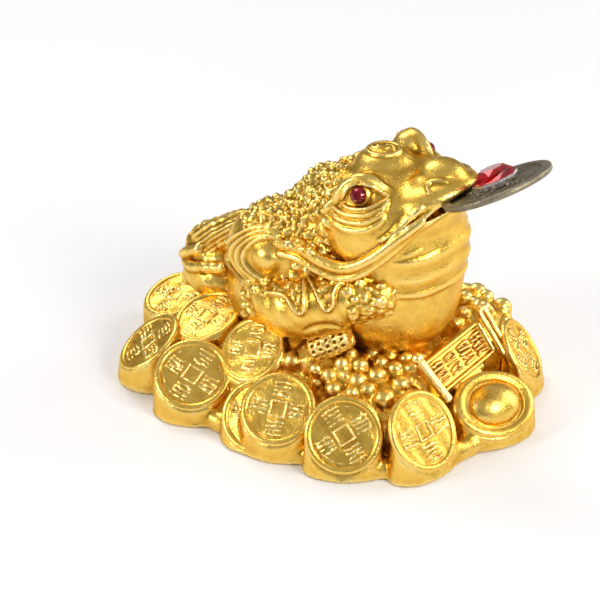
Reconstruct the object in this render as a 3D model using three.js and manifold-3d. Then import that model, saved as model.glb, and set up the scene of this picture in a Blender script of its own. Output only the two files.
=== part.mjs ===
// Money toad: a three-legged toad on a bed of old coins, with a loose cash coin in its mouth.
// X is forward, Y is the toad's left, Z is up, and the origin is the middle of the flat underside.
// The toad and its bed are one resin casting. The cash coin, its red stone and the two eye stones
// are pieces of their own.
import * as THREE from 'three';
import { mergeVertices } from 'three/addons/utils/BufferGeometryUtils.js';
import Module from 'manifold-3d';

// Driving sizes, in millimetres and degrees
const BASE_LENGTH = 90;
const BED_COIN_DIAMETER = 15.4;
const BED_COIN_RIM_WIDTH = 1.3;
const BED_COIN_RELIEF = 0.6;
const BED_COIN_SQUARE = 3.8;
const BED_COIN_SQUARE_WALL = 0.8;
const BED_COIN_FLARE = 1.04;
const DISH_DIAMETER = 16.2;
const DISH_FOOT = 2.9;
const BEAD_DIAMETER = 3.8;
const SCROLL_LENGTH = 21.2;
const SCROLL_WIDTH = 8;
const SCROLL_BORDER = 1.2;
const SCROLL_RELIEF = 0.6;
const SCROLL_THICKNESS = 7;
const SCROLL_ROD_DIAMETER = 2;
const MOUTH_COIN_DIAMETER = 22;
const MOUTH_COIN_THICKNESS = 1.3;
const MOUTH_COIN_RIM_WIDTH = 1.6;
const MOUTH_COIN_RELIEF = 0.25;
const MOUTH_COIN_HOLE = 3.8;
const MOUTH_COIN_TILT = 27.4;
const MOUTH_COIN_BITE = 3.2;
const MOUTH_SLOT_CLEARANCE = 0.2;
const COIN_GEM_DIAMETER = 9.4;
const COIN_GEM_FOOT = 8.4;
const COIN_GEM_TABLE = 4.9;
const COIN_GEM_GIRDLE_HEIGHT = 1.2;
const COIN_GEM_HEIGHT = 3.4;
const EYE_GEM_DIAMETER = 3.5;
const EYE_GEM_HEIGHT = 1.7;
const EYE_GEM_SUNK = 0.7;
const GLUE_GAP = 0.2;

// The toad's pose and carving are shares of the bed's length, drawn on a bed of this length
const DRAWN_LENGTH = 90;
const SHARE = BASE_LENGTH / DRAWN_LENGTH;
const SIDES = [-1, 1];

const GOLD = new THREE.MeshStandardMaterial({ color: 0xd9a441, roughness: 0.35, metalness: 0.85 });
const BRASS = new THREE.MeshStandardMaterial({ color: 0x8a7a55, roughness: 0.5, metalness: 0.8 });
const RUBY = new THREE.MeshStandardMaterial({ color: 0xc0161e, roughness: 0.08, metalness: 0.1 });

const wasm = await Module();
wasm.setup();

const radians = THREE.MathUtils.degToRad;
const at = (x, y, z) => new THREE.Vector3(x, y, z).multiplyScalar(SHARE);
const mirrored = (points, side) => points.map(([x, y, z]) => [x, y * side, z]);

// A closed solid from a three.js geometry: corners merged, empty triangles dropped
function solid(geometry) {
  const bare = geometry.clone();
  bare.deleteAttribute('normal');
  bare.deleteAttribute('uv');
  const merged = mergeVertices(bare, 1e-4);
  const corners = merged.index.array;
  const kept = [];
  for (let i = 0; i < corners.length; i += 3) {
    const [a, b, c] = [corners[i], corners[i + 1], corners[i + 2]];
    if (a !== b && b !== c && c !== a) kept.push(a, b, c);
  }
  const vertProperties = new Float32Array(merged.attributes.position.array);
  return new wasm.Manifold(new wasm.Mesh({ numProp: 3, vertProperties, triVerts: new Uint32Array(kept) }));
}

function join(parts) {
  return parts.reduce((whole, part) => whole.add(part));
}

function meshOf(name, body, material) {
  const { vertProperties, triVerts } = body.getMesh();
  const geometry = new THREE.BufferGeometry();
  geometry.setAttribute('position', new THREE.BufferAttribute(new Float32Array(vertProperties), 3));
  geometry.setIndex(new THREE.BufferAttribute(new Uint32Array(triVerts), 1));
  geometry.computeVertexNormals();
  const mesh = new THREE.Mesh(geometry, material);
  mesh.name = name;
  return mesh;
}

// The direction that leans from straight up by the tilt, towards the bearing
function leaning(bearing, tilt) {
  const flat = Math.sin(radians(tilt));
  return new THREE.Vector3(
    flat * Math.cos(radians(bearing)),
    flat * Math.sin(radians(bearing)),
    Math.cos(radians(tilt)),
  );
}

// Turns a shape drawn around +Z so that +Z points along the normal, and moves it to its place
function place(geometry, centre, normal, spin = 0) {
  geometry.rotateZ(spin);
  geometry.applyQuaternion(new THREE.Quaternion().setFromUnitVectors(new THREE.Vector3(0, 0, 1), normal));
  return geometry.translate(centre.x, centre.y, centre.z);
}

// A turned shape around +Z from a profile of [radius, height] pairs, from the bottom up
function turned(profile, sides) {
  const points = profile.map(([radius, height]) => new THREE.Vector2(radius, height));
  return new THREE.LatheGeometry(points, sides).rotateX(Math.PI / 2);
}

// Triangles between two rings of point numbers, which start side by side but may differ in length.
// A ring of one point is the tip of a fan
function band(low, high) {
  const steps = (ring) => (ring.length > 1 ? ring.length : 0);
  const triangles = [];
  let i = 0;
  let j = 0;
  while (i < steps(low) || j < steps(high)) {
    const corners = [low[i % low.length], high[j % high.length]];
    const lowNext = j >= steps(high) || (i < steps(low) && (i + 1) / steps(low) <= (j + 1) / steps(high));
    if (lowNext) {
      i += 1;
      triangles.push(corners[0], low[i % low.length], corners[1]);
    } else {
      j += 1;
      triangles.push(corners[0], high[j % high.length], corners[1]);
    }
  }
  return triangles;
}

// A closed skin over rings of points, from a tip at one end to a tip at the other
function skin(firstTip, rings, lastTip) {
  const loops = [[firstTip], ...rings, [lastTip]];
  const points = loops.flat();
  const numbered = loops.map((loop) => loop.map((point) => points.indexOf(point)));
  const geometry = new THREE.BufferGeometry();
  const positions = points.flatMap((point) => point.toArray());
  geometry.setAttribute('position', new THREE.Float32BufferAttribute(positions, 3));
  geometry.setIndex(numbered.slice(1).flatMap((loop, i) => band(numbered[i], loop)));
  return geometry;
}

// An egg of the body, pitched nose-up about Y and turned outwards about Z
function egg(x, y, z, rx, ry, rz, pitch = 0, turn = 0, detail = 12) {
  const geometry = new THREE.SphereGeometry(1, detail, Math.round(detail * 0.6));
  geometry.rotateX(Math.PI / 2);
  geometry.scale(rx * SHARE, ry * SHARE, rz * SHARE);
  geometry.rotateY(-radians(pitch));
  geometry.rotateZ(radians(turn));
  const middle = at(x, y, z);
  return geometry.translate(middle.x, middle.y, middle.z);
}

// A limb, fold or ridge: round rings along a smooth curve through the points, with its own radii.
// A radius given as a pair is [sideways, upwards], for a curve that stays on the middle plane
function limb(points, radii, sides, steps) {
  const tipReach = 0.6;
  const curve = new THREE.CatmullRomCurve3(points.map((point) => at(...point)));
  const pair = (radius) => (Array.isArray(radius) ? radius : [radius, radius]);
  const width = new THREE.CatmullRomCurve3(radii.map((radius) => at(...pair(radius), 0)));
  const frames = curve.computeFrenetFrames(steps);
  const ring = (i) => Array.from({ length: sides }, (_, j) => {
    const angle = (2 * Math.PI * j) / sides;
    const radius = width.getPoint(i / steps);
    const point = curve.getPoint(i / steps);
    point.addScaledVector(frames.normals[i], radius.x * Math.cos(angle));
    return point.addScaledVector(frames.binormals[i], radius.y * Math.sin(angle));
  });
  const rings = Array.from({ length: steps + 1 }, (_, i) => ring(i));
  const tip = (i, reach) => curve.getPoint(i / steps)
    .addScaledVector(frames.tangents[i], reach * width.getPoint(i / steps).y);
  return skin(tip(0, -tipReach), rings, tip(steps, tipReach));
}

// The toad's bulk on the middle plane: back, throat with belly, and head
const BACK = [[-24, 0, 17], [-17, 0, 22.4], [-7, 0, 29.6], [2, 0, 36.4], [8, 0, 40.2], [14, 0, 42.6]];
const BACK_RADII = [[7, 5.6], [14.2, 10.4], [18, 12.2], [17.6, 12.2], [16.8, 11.8], [14, 8.6]];
const THROAT = [[15.5, 0, 12], [16, 0, 21], [16.3, 0, 30], [17.2, 0, 38], [19, 0, 45], [22, 0, 49]];
const THROAT_RADII = [[8, 7], [13.4, 12], [14, 12.6], [13.6, 12.5], [12, 11], [7.5, 7.5]];
const HEAD = [[2, 0, 45.5], [9, 0, 47.6], [15, 0, 48.6], [21, 0, 49.8], [26, 0, 51.4], [30, 0, 53.2]];
const HEAD_RADII = [[11, 6], [13.8, 7.8], [13.6, 7.2], [11.4, 5], [8.4, 3.4], [3.4, 1.4]];

// The eggs that come in pairs, on the left side, as [x, y, z, rx, ry, rz, pitch, turn]
const EYE_BULGE = [12.8, 9.8, 51.8, 5.2, 3.4, 4.4, 0, 10];
const NOSTRIL_LOBE = [24.2, 4, 53.2, 3.6, 3, 2.6, 0, 0];
const CHEEK = [14, 6.6, 43, 11.4, 9.2, 8.6, 50, 0];
const SHOULDER_DOME = [-5, 16, 34.5, 4.6, 4.5, 4.6, 0, 0];

function bulk() {
  const middle = [[BACK, BACK_RADII], [THROAT, THROAT_RADII], [HEAD, HEAD_RADII]];
  const paired = (side) => [EYE_BULGE, NOSTRIL_LOBE, CHEEK, SHOULDER_DOME]
    .map(([x, y, z, rx, ry, rz, pitch, turn]) => egg(x, y * side, z, rx, ry, rz, pitch, turn * side, 10));
  const pairs = SIDES.flatMap(paired);
  return join([...middle.map(([line, radii]) => limb(line, radii, 16, 8)), ...pairs].map(solid));
}

// Where a ray from inside the trunk last leaves the bulk, in drawn units
function surfaceFinder(body) {
  const material = new THREE.MeshStandardMaterial({ side: THREE.DoubleSide });
  const mesh = meshOf('bulk', body, material);
  const start = at(-2, 0, 30);
  return (ray) => new THREE.Raycaster(start, ray).intersectObject(mesh).at(-1).point.divideScalar(SHARE);
}

// Both lips run from the snout back along the cheek to the shoulder
const UPPER_LIP = [[30.9, 0, 54.2], [29.6, 3.6, 53.4], [28.3, 7, 51.2], [26.3, 10, 47.8], [22.8, 12.8, 44.3],
  [18.7, 15, 40.2], [14, 16.2, 37.2], [9.5, 17, 37.4], [4, 17.2, 39], [-0.8, 17.4, 38.6]];
const LOWER_LIP = [[29.6, 0, 49.3], [28.8, 4, 48.7], [27.2, 7.5, 47.2], [25, 10.2, 45.2], [22.6, 12.8, 42.3],
  [18.4, 15.2, 38], [14, 16.6, 35.1], [9.5, 17.3, 35.2], [4, 17.6, 36.8], [-0.8, 17.6, 36.6]];

function lips(side) {
  return [UPPER_LIP, LOWER_LIP].map((line) => limb(mirrored(line, side), [0.9, 1, 1.2, 1.2, 0.9], 5, 10));
}

// The eye looks out to the side, a little forward and up
const EYE = { x: 14.4, y: 12.6, z: 51.7, bearing: 72, rise: 21, front: 0.4 };
const BROW = [[8.3, 13, 48.1], [10.9, 12, 53.4], [13.8, 10.6, 55.1], [16.9, 9.2, 54], [19, 8.2, 51]];

function eyeFrame(side) {
  const normal = leaning(EYE.bearing * side, 90 - EYE.rise);
  const across = new THREE.Vector3(0, 0, side).cross(normal).normalize();
  const up = normal.clone().cross(across).multiplyScalar(side);
  return { centre: at(EYE.x, EYE.y * side, EYE.z), normal, across, up };
}

// A fold under the eye: half an ellipse in the plane of the eye, its middle pushed outwards
function lowerLid(side) {
  const { centre, normal, across, up } = eyeFrame(side);
  const [halfWidth, below, drop, bulge, sunk] = [4.6, 0.6, 4.2, 0.7, 1.2];
  const steps = 5;
  const points = Array.from({ length: steps + 1 }, (_, i) => {
    const angle = (Math.PI * i) / steps;
    const point = centre.clone().divideScalar(SHARE);
    point.addScaledVector(across, halfWidth * Math.cos(angle));
    point.addScaledVector(up, -below - drop * Math.sin(angle));
    return point.addScaledVector(normal, bulge * Math.sin(angle) - sunk).toArray();
  });
  return limb(points, [0.5, 0.8, 0.5], 4, 6);
}

function eye(side) {
  const { centre, normal } = eyeFrame(side);
  const ball = egg(0, 0, -2, 3.2, 3.2, 2.4, 0, 0, 8);
  return [
    place(ball, centre, normal),
    limb(mirrored(BROW, side), [0.6, 1, 1.1, 0.9, 0.5], 4, 7),
    lowerLid(side),
  ];
}

// The shoulder dome is wrapped from behind by nested C-shaped folds
function shoulderFolds(side) {
  const [x, y, z] = SHOULDER_DOME;
  return [4.8, 6.5, 8.1].map((radius, i) => {
    const points = Array.from({ length: 6 }, (_, k) => {
      const angle = radians(60 + 40 * k);
      return [x + 0.9 + radius * Math.cos(angle), (y + 1.2 - i) * side, z + radius * Math.sin(angle)];
    });
    return limb(points, [0.6, 1.1, 0.8], 3, 6);
  });
}

// Forelegs: elbow out behind, hand turned in under the throat
function foreleg(side) {
  const arm = [[-8, 12, 29], [-1.5, 17, 26.5], [6, 17.5, 28.2], [13, 15, 29.6], [18.6, 11.4, 29.6]];
  const palm = [[-2, 18, 23], [6.5, 17.5, 22.8], [14, 12.6, 24.5]];
  return [
    limb(mirrored(arm, side), [5, 6.2, 6, 5.4, 3.4], 9, 6),
    limb(mirrored(palm, side), [3.2, 3.2, 3], 6, 3),
  ];
}

// One hind leg, on the middle line, with long toes over an ingot
function hindLeg() {
  const thigh = [[-12, 0, 32], [-20, 0, 28.6], [-28, 0, 24.4], [-33.5, 0, 20.5]];
  const toes = [-3, 0, 3].map((y) => {
    const fall = 0.4 * Math.abs(y);
    const line = [[-20, y * 0.8, 31.8 - fall], [-27, y, 28 - fall], [-33.6, y * 1.1, 23.4 - fall]];
    return limb(line, [1, 1.7, 1.4], 4, 3);
  });
  return [limb(thigh, [4.6, 4.8, 4.2, 3.4], 8, 6), ...toes];
}

// Folds across the throat, higher in the middle than at the jaws
function throatFolds(surfacePoint) {
  const halfSpan = 48;
  const fall = 17;
  const sunk = 0.2;
  return [31, 22, 12].map((rise) => {
    const points = Array.from({ length: 9 }, (_, i) => {
      const swing = i / 4 - 1;
      const out = leaning(halfSpan * swing, 90 - rise + fall * swing * swing);
      return surfacePoint(out).addScaledVector(out, -sunk).toArray();
    });
    return limb(points, [0.4, 1.2, 0.4], 4, 10);
  });
}

// A round seal with a raised rim, on top of the head
const SEAL_SPOT = [11.4, 0, 55.5];
const SEAL_LEAN = 6;

function headSeal() {
  const [radius, field, rim, depth] = [3.5, 2.8, 0.45, 2].map((size) => size * SHARE);
  const profile = [[0, -depth], [radius, -depth], [radius, rim], [field, rim], [field, 0], [0, 0]];
  return place(turned(profile, 10), at(...SEAL_SPOT), leaning(180, SEAL_LEAN));
}

function knob(radius, middle) {
  return new THREE.IcosahedronGeometry(radius).translate(middle.x, middle.y, middle.z);
}

// Warts in staggered rows round the back, from the neck down to the rump, in uneven sizes
function warts(surfacePoint) {
  const [neck, lowest] = [4, 31];
  const sweep = 160;
  const found = [];
  for (let row = 0; row < 5; row += 1) {
    const count = 3 + row;
    for (let k = 0; k < count; k += 1) {
      const share = (k + 0.25 + 0.5 * (row % 2)) / count;
      const spot = surfacePoint(leaning(180 + sweep * (share - 0.5), 25 + 15 * row));
      const radius = (1.5 + 0.4 * Math.cos(row * 2.4 + k * 1.7)) * SHARE;
      if (spot.x < neck && spot.z > lowest) found.push(knob(radius, spot.multiplyScalar(SHARE)));
    }
  }
  return found;
}

// The heap between the coins, longer than it is wide. Its profile is [radius, height] from the rim in
const HEAP = [[30.8, 0], [29.6, 2.4], [22.4, 8.8], [14, 15.4], [0, 21]];
const HEAP_STRETCH = 1.24;

// Smaller heaps that carry the beads, as [x, y, z, rx, ry, rz]
const NEAR_HEAP = [15.5, -10, 7.5, 12, 8, 5.5];
const FAR_HEAP = [19, 19, 8.5, 11, 8.5, 7];

// The height of the highest heap at a place, in drawn units
function groundHeight(x, y) {
  const radius = Math.hypot(x / HEAP_STRETCH, y);
  const outer = HEAP.findLastIndex(([reach]) => reach >= radius);
  const eggTop = ([cx, cy, cz, rx, ry, rz]) => {
    const rise = 1 - ((x - cx) / rx) ** 2 - ((y - cy) / ry) ** 2;
    return rise > 0 ? cz + rz * Math.sqrt(rise) : 0;
  };
  const small = Math.max(eggTop(NEAR_HEAP), eggTop(FAR_HEAP));
  if (outer < 0) return small;
  const [[far, low], [near, high]] = [HEAP[outer], HEAP[outer + 1]];
  return Math.max(small, low + ((far - radius) / (far - near)) * (high - low));
}

function heap() {
  const shape = turned([[0, 0], ...HEAP], 18);
  return shape.scale(HEAP_STRETCH * SHARE, SHARE, SHARE);
}

// The mouth holds the coin on a slope, by its rear edge. The wedge is the corner of the open mouth
const MOUTH = [30.5, 0, 51.2];
const MOUTH_WEDGE = [31.5, 0, 50.9, 10.5, 12.5, 1.7, 40, 0];

function mouthFrame() {
  const up = leaning(180, MOUTH_COIN_TILT);
  const forward = leaning(0, 90 - MOUTH_COIN_TILT);
  const centre = at(...MOUTH).addScaledVector(forward, MOUTH_COIN_DIAMETER / 2 - MOUTH_COIN_BITE);
  return { up, centre };
}

// A slot that clears the coin all round, opened to a wedge under the upper lip
function mouthCut() {
  const { up, centre } = mouthFrame();
  const radius = MOUTH_COIN_DIAMETER / 2 + MOUTH_SLOT_CLEARANCE;
  const half = MOUTH_COIN_THICKNESS / 2 + MOUTH_SLOT_CLEARANCE;
  const slot = turned([[0, -half], [radius, -half], [radius, half], [0, half]], 24);
  return [place(slot, centre, up), egg(...MOUTH_WEDGE, 10)];
}

// A ring of points round the normal
function ringAround(centre, normal, radius, sides) {
  const circle = new THREE.CircleGeometry(radius, sides, Math.PI / 4);
  const corners = place(circle, centre, normal).attributes.position;
  return Array.from({ length: sides }, (_, j) => new THREE.Vector3().fromBufferAttribute(corners, j + 1));
}

// A pressed disc: a sunk field inside a bevelled rim. Its wall runs down to the underside, a little
// outwards. A cash coin has a raised square ring in the middle
function pressing(centre, normal, { radius, rim, relief, square }, sides = 12) {
  const along = (depth) => centre.clone().addScaledVector(normal, -depth);
  const wall = ringAround(centre, normal, radius * BED_COIN_FLARE, sides).map((point) => point.setZ(0));
  const back = wall.reduce((sum, point) => sum.add(point), new THREE.Vector3()).divideScalar(sides);
  const rings = [
    wall,
    ringAround(along(0), normal, radius, sides),
    ringAround(along(relief), normal, radius - rim, sides),
  ];
  if (square) {
    const corner = square / Math.SQRT2;
    const hole = corner - BED_COIN_SQUARE_WALL * Math.SQRT2;
    rings.push(
      ringAround(along(relief), normal, corner, 4),
      ringAround(along(0), normal, corner, 4),
      ringAround(along(0), normal, hole, 4),
      ringAround(along(relief), normal, hole, 4),
    );
  }
  return skin(back, rings, along(relief));
}

// Coins leaning round the edge of the bed, as [x, y, bearing, tilt, size, height of the lowest rim]
const EDGE_COINS = [
  [-41.2, -0.4, -115, 20, 0.96, 5.5],
  [-32.8, -20.6, -135, 35, 1, 4],
  [-16.3, -26.9, -60, 37, 1.03, 4.2],
  [1.9, -30, -80, 53, 1, 0.8],
  [5.9, -28.8, -76, 43, 1.02, 4.2],
  [22, -28.9, -58, 58, 1.02, 2.4],
  [34.3, -18.9, -11, 55, 1.08, 2.4],
  [34.2, 20, 22, 55, 0.96, 2.4],
  [21.4, 28.2, 58, 55, 1, 2.8],
  [5, 29.4, 84, 48, 1, 3.4],
  [-12, 28, 106, 42, 1, 2.4],
  [-27.4, 21.6, 132, 38, 1, 3.6],
  [-37.4, 11, 160, 30, 1, 2.8],
];

// Coins that stand on the heap and on other coins, as [x, y, bearing, tilt, size, z]
const UPPER_COINS = [
  [-23.4, -12.5, -109, 23, 0.97, 13.8],
  [-7.2, -18.7, -95, 42, 0.96, 13.9],
  [-16.5, 17, 110, 32, 0.97, 13],
];

function bedCoin(centre, normal, size) {
  const shape = {
    radius: (BED_COIN_DIAMETER / 2) * size,
    rim: BED_COIN_RIM_WIDTH,
    relief: BED_COIN_RELIEF,
    square: BED_COIN_SQUARE,
  };
  return pressing(centre, normal, shape);
}

function coins() {
  const edge = EDGE_COINS.map(([x, y, bearing, tilt, size, foot]) => {
    const centre = at(x, y, foot);
    centre.z += (BED_COIN_DIAMETER / 2) * size * Math.sin(radians(tilt));
    return bedCoin(centre, leaning(bearing, tilt), size);
  });
  const upper = UPPER_COINS.map(([x, y, bearing, tilt, size, z]) => (
    bedCoin(at(x, y, z), leaning(bearing, tilt), size)));
  return [...edge, ...upper];
}

// A round ingot at the front of the bed: a deep dish with a dome in it
function dish() {
  const tilt = 38;
  const radius = DISH_DIAMETER / 2;
  const normal = leaning(-22, tilt);
  const centre = at(39, 0, 0).setZ(DISH_FOOT + radius * Math.sin(radians(tilt)));
  const shape = {
    radius,
    rim: 1.8 * BED_COIN_RIM_WIDTH,
    relief: 2 * BED_COIN_RELIEF,
  };
  const dome = egg(0, 0, -0.8, 5.4, 5.4, 3.5, 0, 0, 9);
  return [pressing(centre, normal, shape, 16), place(dome, centre, normal)];
}

// A boat-shaped ingot under the hind foot: a hull, a rim that rises to both tips, and a dome
function boatIngot() {
  const rim = [[-6.8, 0, 3], [0, 4, 0.8], [6.8, 0, 3], [0, -4, 0.8], [-6.8, 0, 3]];
  const shapes = [
    egg(0, 0, 0, 6.4, 4.2, 3.8, 0, 0, 8),
    limb(rim, [0.9, 1, 0.9], 3, 8),
    egg(0, 0, 2.4, 3.2, 2.8, 3, 0, 0, 7),
  ];
  const middle = at(-31.5, -1.5, 17);
  return shapes.map((shape) => shape.translate(middle.x, middle.y, middle.z));
}

// Beads lying on the heaps and on each other, as [x, y, raised], raised in bead diameters
const BEADS = [
  [12.3, -17.9, 0], [15.9, -14.7, 0], [10.9, -16.5, 0.35], [22.4, -15.2, 0.1], [22.8, -10, 0],
  [17.7, -10.9, 0.05], [14.2, -10.7, 0.2], [19.8, -8.2, 0.35], [9.9, -12.2, 0.15], [4.4, -19.2, 0.3],
  [-16.9, -13.5, 0.25], [19.8, 22.4, 0.2], [25.4, 24, 0.3], [20.4, 17.6, 0.3], [14.4, 22, 0.35],
];

function beads() {
  return BEADS.map(([x, y, raised]) => {
    const middle = at(x, y, groundHeight(x, y));
    return knob(BEAD_DIAMETER / 2, middle.setZ(middle.z + raised * BEAD_DIAMETER));
  });
}

// The scroll at the front: a sloping plaque with a raised border, rolled round a rod at each end
function scroll() {
  const slope = leaning(0, 52);
  const centre = at(29.4, 2.6, 13.6);
  const rodLength = SCROLL_WIDTH * 1.18;
  const border = 2 * SCROLL_BORDER;
  const body = new THREE.BoxGeometry(SCROLL_WIDTH, SCROLL_LENGTH, SCROLL_THICKNESS);
  body.translate(0, 0, -SCROLL_THICKNESS / 2);
  const field = new THREE.BoxGeometry(SCROLL_WIDTH - border, SCROLL_LENGTH - border, 2 * SCROLL_RELIEF);
  const strokes = [-0.3, -0.1, 0.1, 0.3].map((share) => {
    const stroke = new THREE.BoxGeometry(SCROLL_WIDTH * 0.5, SCROLL_BORDER, 2 * SCROLL_RELIEF);
    return stroke.translate(0, share * SCROLL_LENGTH, -SCROLL_RELIEF);
  });
  const radius = SCROLL_ROD_DIAMETER / 2;
  const rods = SIDES.map((side) => {
    const rod = new THREE.CylinderGeometry(radius, radius, rodLength, 8).rotateZ(Math.PI / 2);
    return rod.translate(0, side * (SCROLL_LENGTH / 2), 0);
  });
  const set = (geometry) => solid(place(geometry, centre, slope));
  return join([set(body).subtract(set(field)), ...rods.map(set), ...strokes.map(set)]);
}

// The pierced roll held under the near hand
function roll() {
  return limb([[5.4, -18.4, 15], [9.8, -16.9, 17.9], [14, -15, 20.2]], [2.7, 2.9, 2.7], 9, 3);
}

// Where the foot of an eye stone lies, sunk below the front of the eyeball
function eyeSeat(side) {
  const { centre, normal } = eyeFrame(side);
  return centre.clone().addScaledVector(normal, EYE.front * SHARE - EYE_GEM_SUNK);
}

function eyeSocket(side) {
  const radius = EYE_GEM_DIAMETER / 2 + GLUE_GAP;
  const reach = EYE_GEM_DIAMETER;
  const bore = [[0, -GLUE_GAP], [radius, -GLUE_GAP], [radius, reach], [0, reach]];
  return place(turned(bore, 10), eyeSeat(side), eyeFrame(side).normal);
}

function figure() {
  const paired = SIDES.flatMap((side) => (
    [...lips(side), ...eye(side), ...shoulderFolds(side), ...foreleg(side)]));
  const body = bulk();
  const surfacePoint = surfaceFinder(body);
  const carving = [body, ...[
    ...paired, ...hindLeg(), ...throatFolds(surfacePoint), ...warts(surfacePoint), headSeal(),
    heap(), egg(...NEAR_HEAP), egg(...FAR_HEAP), ...coins(), ...dish(), ...boatIngot(), ...beads(), roll(),
  ].map(solid)];
  const cuts = [...mouthCut(), ...SIDES.map(eyeSocket)].map(solid);
  const below = new THREE.BoxGeometry(3 * BASE_LENGTH, 3 * BASE_LENGTH, BASE_LENGTH);
  const whole = join([...carving, scroll()]).subtract(join(cuts));
  return whole.subtract(solid(below.translate(0, 0, -BASE_LENGTH / 2)));
}

// A square ring between two heights
function squareRing(outer, inner, low, high) {
  const corners = (half) => [[-half, -half], [half, -half], [half, half], [-half, half]]
    .map(([x, y]) => new THREE.Vector2(x, y));
  const outline = new THREE.Shape(corners(outer / 2));
  outline.holes.push(new THREE.Path(corners(inner / 2)));
  return new THREE.ExtrudeGeometry(outline, { depth: high - low, bevelEnabled: false }).translate(0, 0, low);
}

function mouthCoin() {
  const { up, centre } = mouthFrame();
  const radius = MOUTH_COIN_DIAMETER / 2;
  const half = MOUTH_COIN_THICKNESS / 2;
  const rim = radius - MOUTH_COIN_RIM_WIDTH;
  const field = half - MOUTH_COIN_RELIEF;
  const profile = [[0, -half], [radius, -half], [radius, half], [rim, half], [rim, field], [0, field]];
  const square = squareRing(MOUTH_COIN_HOLE + MOUTH_COIN_RIM_WIDTH, MOUTH_COIN_HOLE, -half, half);
  const hole = new THREE.BoxGeometry(MOUTH_COIN_HOLE, MOUTH_COIN_HOLE, 2 * MOUTH_COIN_THICKNESS);
  const set = (geometry) => solid(place(geometry, centre, up));
  return set(turned(profile, 24)).subtract(set(hole)).add(set(square));
}

// An eight-sided stone: a girdle that widens upwards, a sloping crown and a flat table
function coinGem() {
  const { up, centre } = mouthFrame();
  const seat = centre.clone().addScaledVector(up, MOUTH_COIN_THICKNESS / 2 + GLUE_GAP);
  const stone = turned([[0, 0], [COIN_GEM_FOOT / 2, 0], [COIN_GEM_DIAMETER / 2, COIN_GEM_GIRDLE_HEIGHT],
    [COIN_GEM_TABLE / 2, COIN_GEM_HEIGHT], [0, COIN_GEM_HEIGHT]], 8);
  return solid(place(stone, seat, up, Math.PI / 8));
}

// A round stone with two rows of facets
function eyeGem(side) {
  const radius = EYE_GEM_DIAMETER / 2;
  const stone = turned([[0, 0], [radius * 0.9, 0], [radius, EYE_GEM_HEIGHT * 0.4],
    [radius * 0.7, EYE_GEM_HEIGHT * 0.82], [radius * 0.4, EYE_GEM_HEIGHT], [0, EYE_GEM_HEIGHT]], 10);
  return solid(place(stone, eyeSeat(side), eyeFrame(side).normal));
}

const toad = new THREE.Group();
toad.add(meshOf('toad_figure', figure(), GOLD));
toad.add(meshOf('mouth_coin', mouthCoin(), BRASS));
toad.add(meshOf('coin_gem', coinGem(), RUBY));
toad.add(meshOf('eye_gem_right', eyeGem(-1), RUBY));
toad.add(meshOf('eye_gem_left', eyeGem(1), RUBY));

export default toad;
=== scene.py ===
"""The looks of a money toad: a carved toad of gold-painted resin on a bed of old coins.

The toad is modelled as clay is: smooth forms joined on a grid, skinned, and then carved by raising
or sinking the skin along its normals. Coins, scroll, ingots and stones are surfaces of two parameters.
"""
import math

import bpy
import numpy as np
from mathutils import Matrix, Vector


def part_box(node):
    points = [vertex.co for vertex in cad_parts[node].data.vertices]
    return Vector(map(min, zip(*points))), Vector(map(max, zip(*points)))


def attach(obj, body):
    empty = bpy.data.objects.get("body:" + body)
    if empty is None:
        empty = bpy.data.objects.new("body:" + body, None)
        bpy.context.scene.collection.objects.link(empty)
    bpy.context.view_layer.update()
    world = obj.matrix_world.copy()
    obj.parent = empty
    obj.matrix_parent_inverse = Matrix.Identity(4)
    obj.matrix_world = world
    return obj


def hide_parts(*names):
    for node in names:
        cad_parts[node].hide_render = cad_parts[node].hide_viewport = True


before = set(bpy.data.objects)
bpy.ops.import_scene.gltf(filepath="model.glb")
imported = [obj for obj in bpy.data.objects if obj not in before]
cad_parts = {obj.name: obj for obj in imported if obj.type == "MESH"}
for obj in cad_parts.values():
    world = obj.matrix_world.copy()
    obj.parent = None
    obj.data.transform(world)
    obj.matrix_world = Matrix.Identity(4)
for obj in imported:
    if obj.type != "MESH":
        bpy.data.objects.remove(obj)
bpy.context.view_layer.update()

# Lengths are in millimetres of a figure this long. X is forward, Y is the toad's left, Z is up
DRAWN_LENGTH = 94.5
figure_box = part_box("toad_figure")
MM = (figure_box[1].x - figure_box[0].x) / DRAWN_LENGTH
SIDES = (-1, 1)
# A length beyond anything here
FAR_OFF = 99.0
MIRROR = {side: np.array([1, side, 1]) for side in SIDES}
seeded = np.random.default_rng(8)


# Directions and paths

def unit(vector):
    """The same direction with a length of one."""
    return vector / np.maximum(np.linalg.norm(vector, axis=-1, keepdims=True), 1e-9)


def leaning(bearing, tilt):
    """The direction that leans from straight up by the tilt, towards the bearing, in degrees."""
    bearing, tilt = math.radians(bearing), math.radians(tilt)
    flat = math.sin(tilt)
    return np.array([flat * math.cos(bearing), flat * math.sin(bearing), math.cos(tilt)])


def plane_axes(normal, spin=0.0):
    """Rows across, uphill and normal of a plane, with the first two turned by the spin in degrees."""
    across = unit(np.cross([0, 0, 1], normal)) if abs(normal[2]) < 0.999 else np.array([0, 1.0, 0])
    uphill = np.cross(normal, across)
    turn = math.radians(spin)
    return np.array([across * math.cos(turn) + uphill * math.sin(turn),
                     uphill * math.cos(turn) - across * math.sin(turn), normal])


def smooth_path(points, count):
    """Points on a Catmull-Rom curve: each stretch is the cubic of its two ends and their neighbours."""
    points = np.asarray(points, float)
    held = np.vstack([2 * points[0] - points[1], points, 2 * points[-1] - points[-2]])
    along = np.linspace(0, len(points) - 1, count)
    stretch = np.minimum(along.astype(int), len(points) - 2)
    share = (along - stretch)[:, None]
    before, start, end, after = (held[stretch + k] for k in range(4))
    return 0.5 * (2 * start + (end - before) * share
                  + (2 * before - 5 * start + 4 * end - after) * share ** 2
                  + (3 * start - before - 3 * end + after) * share ** 3)


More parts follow.
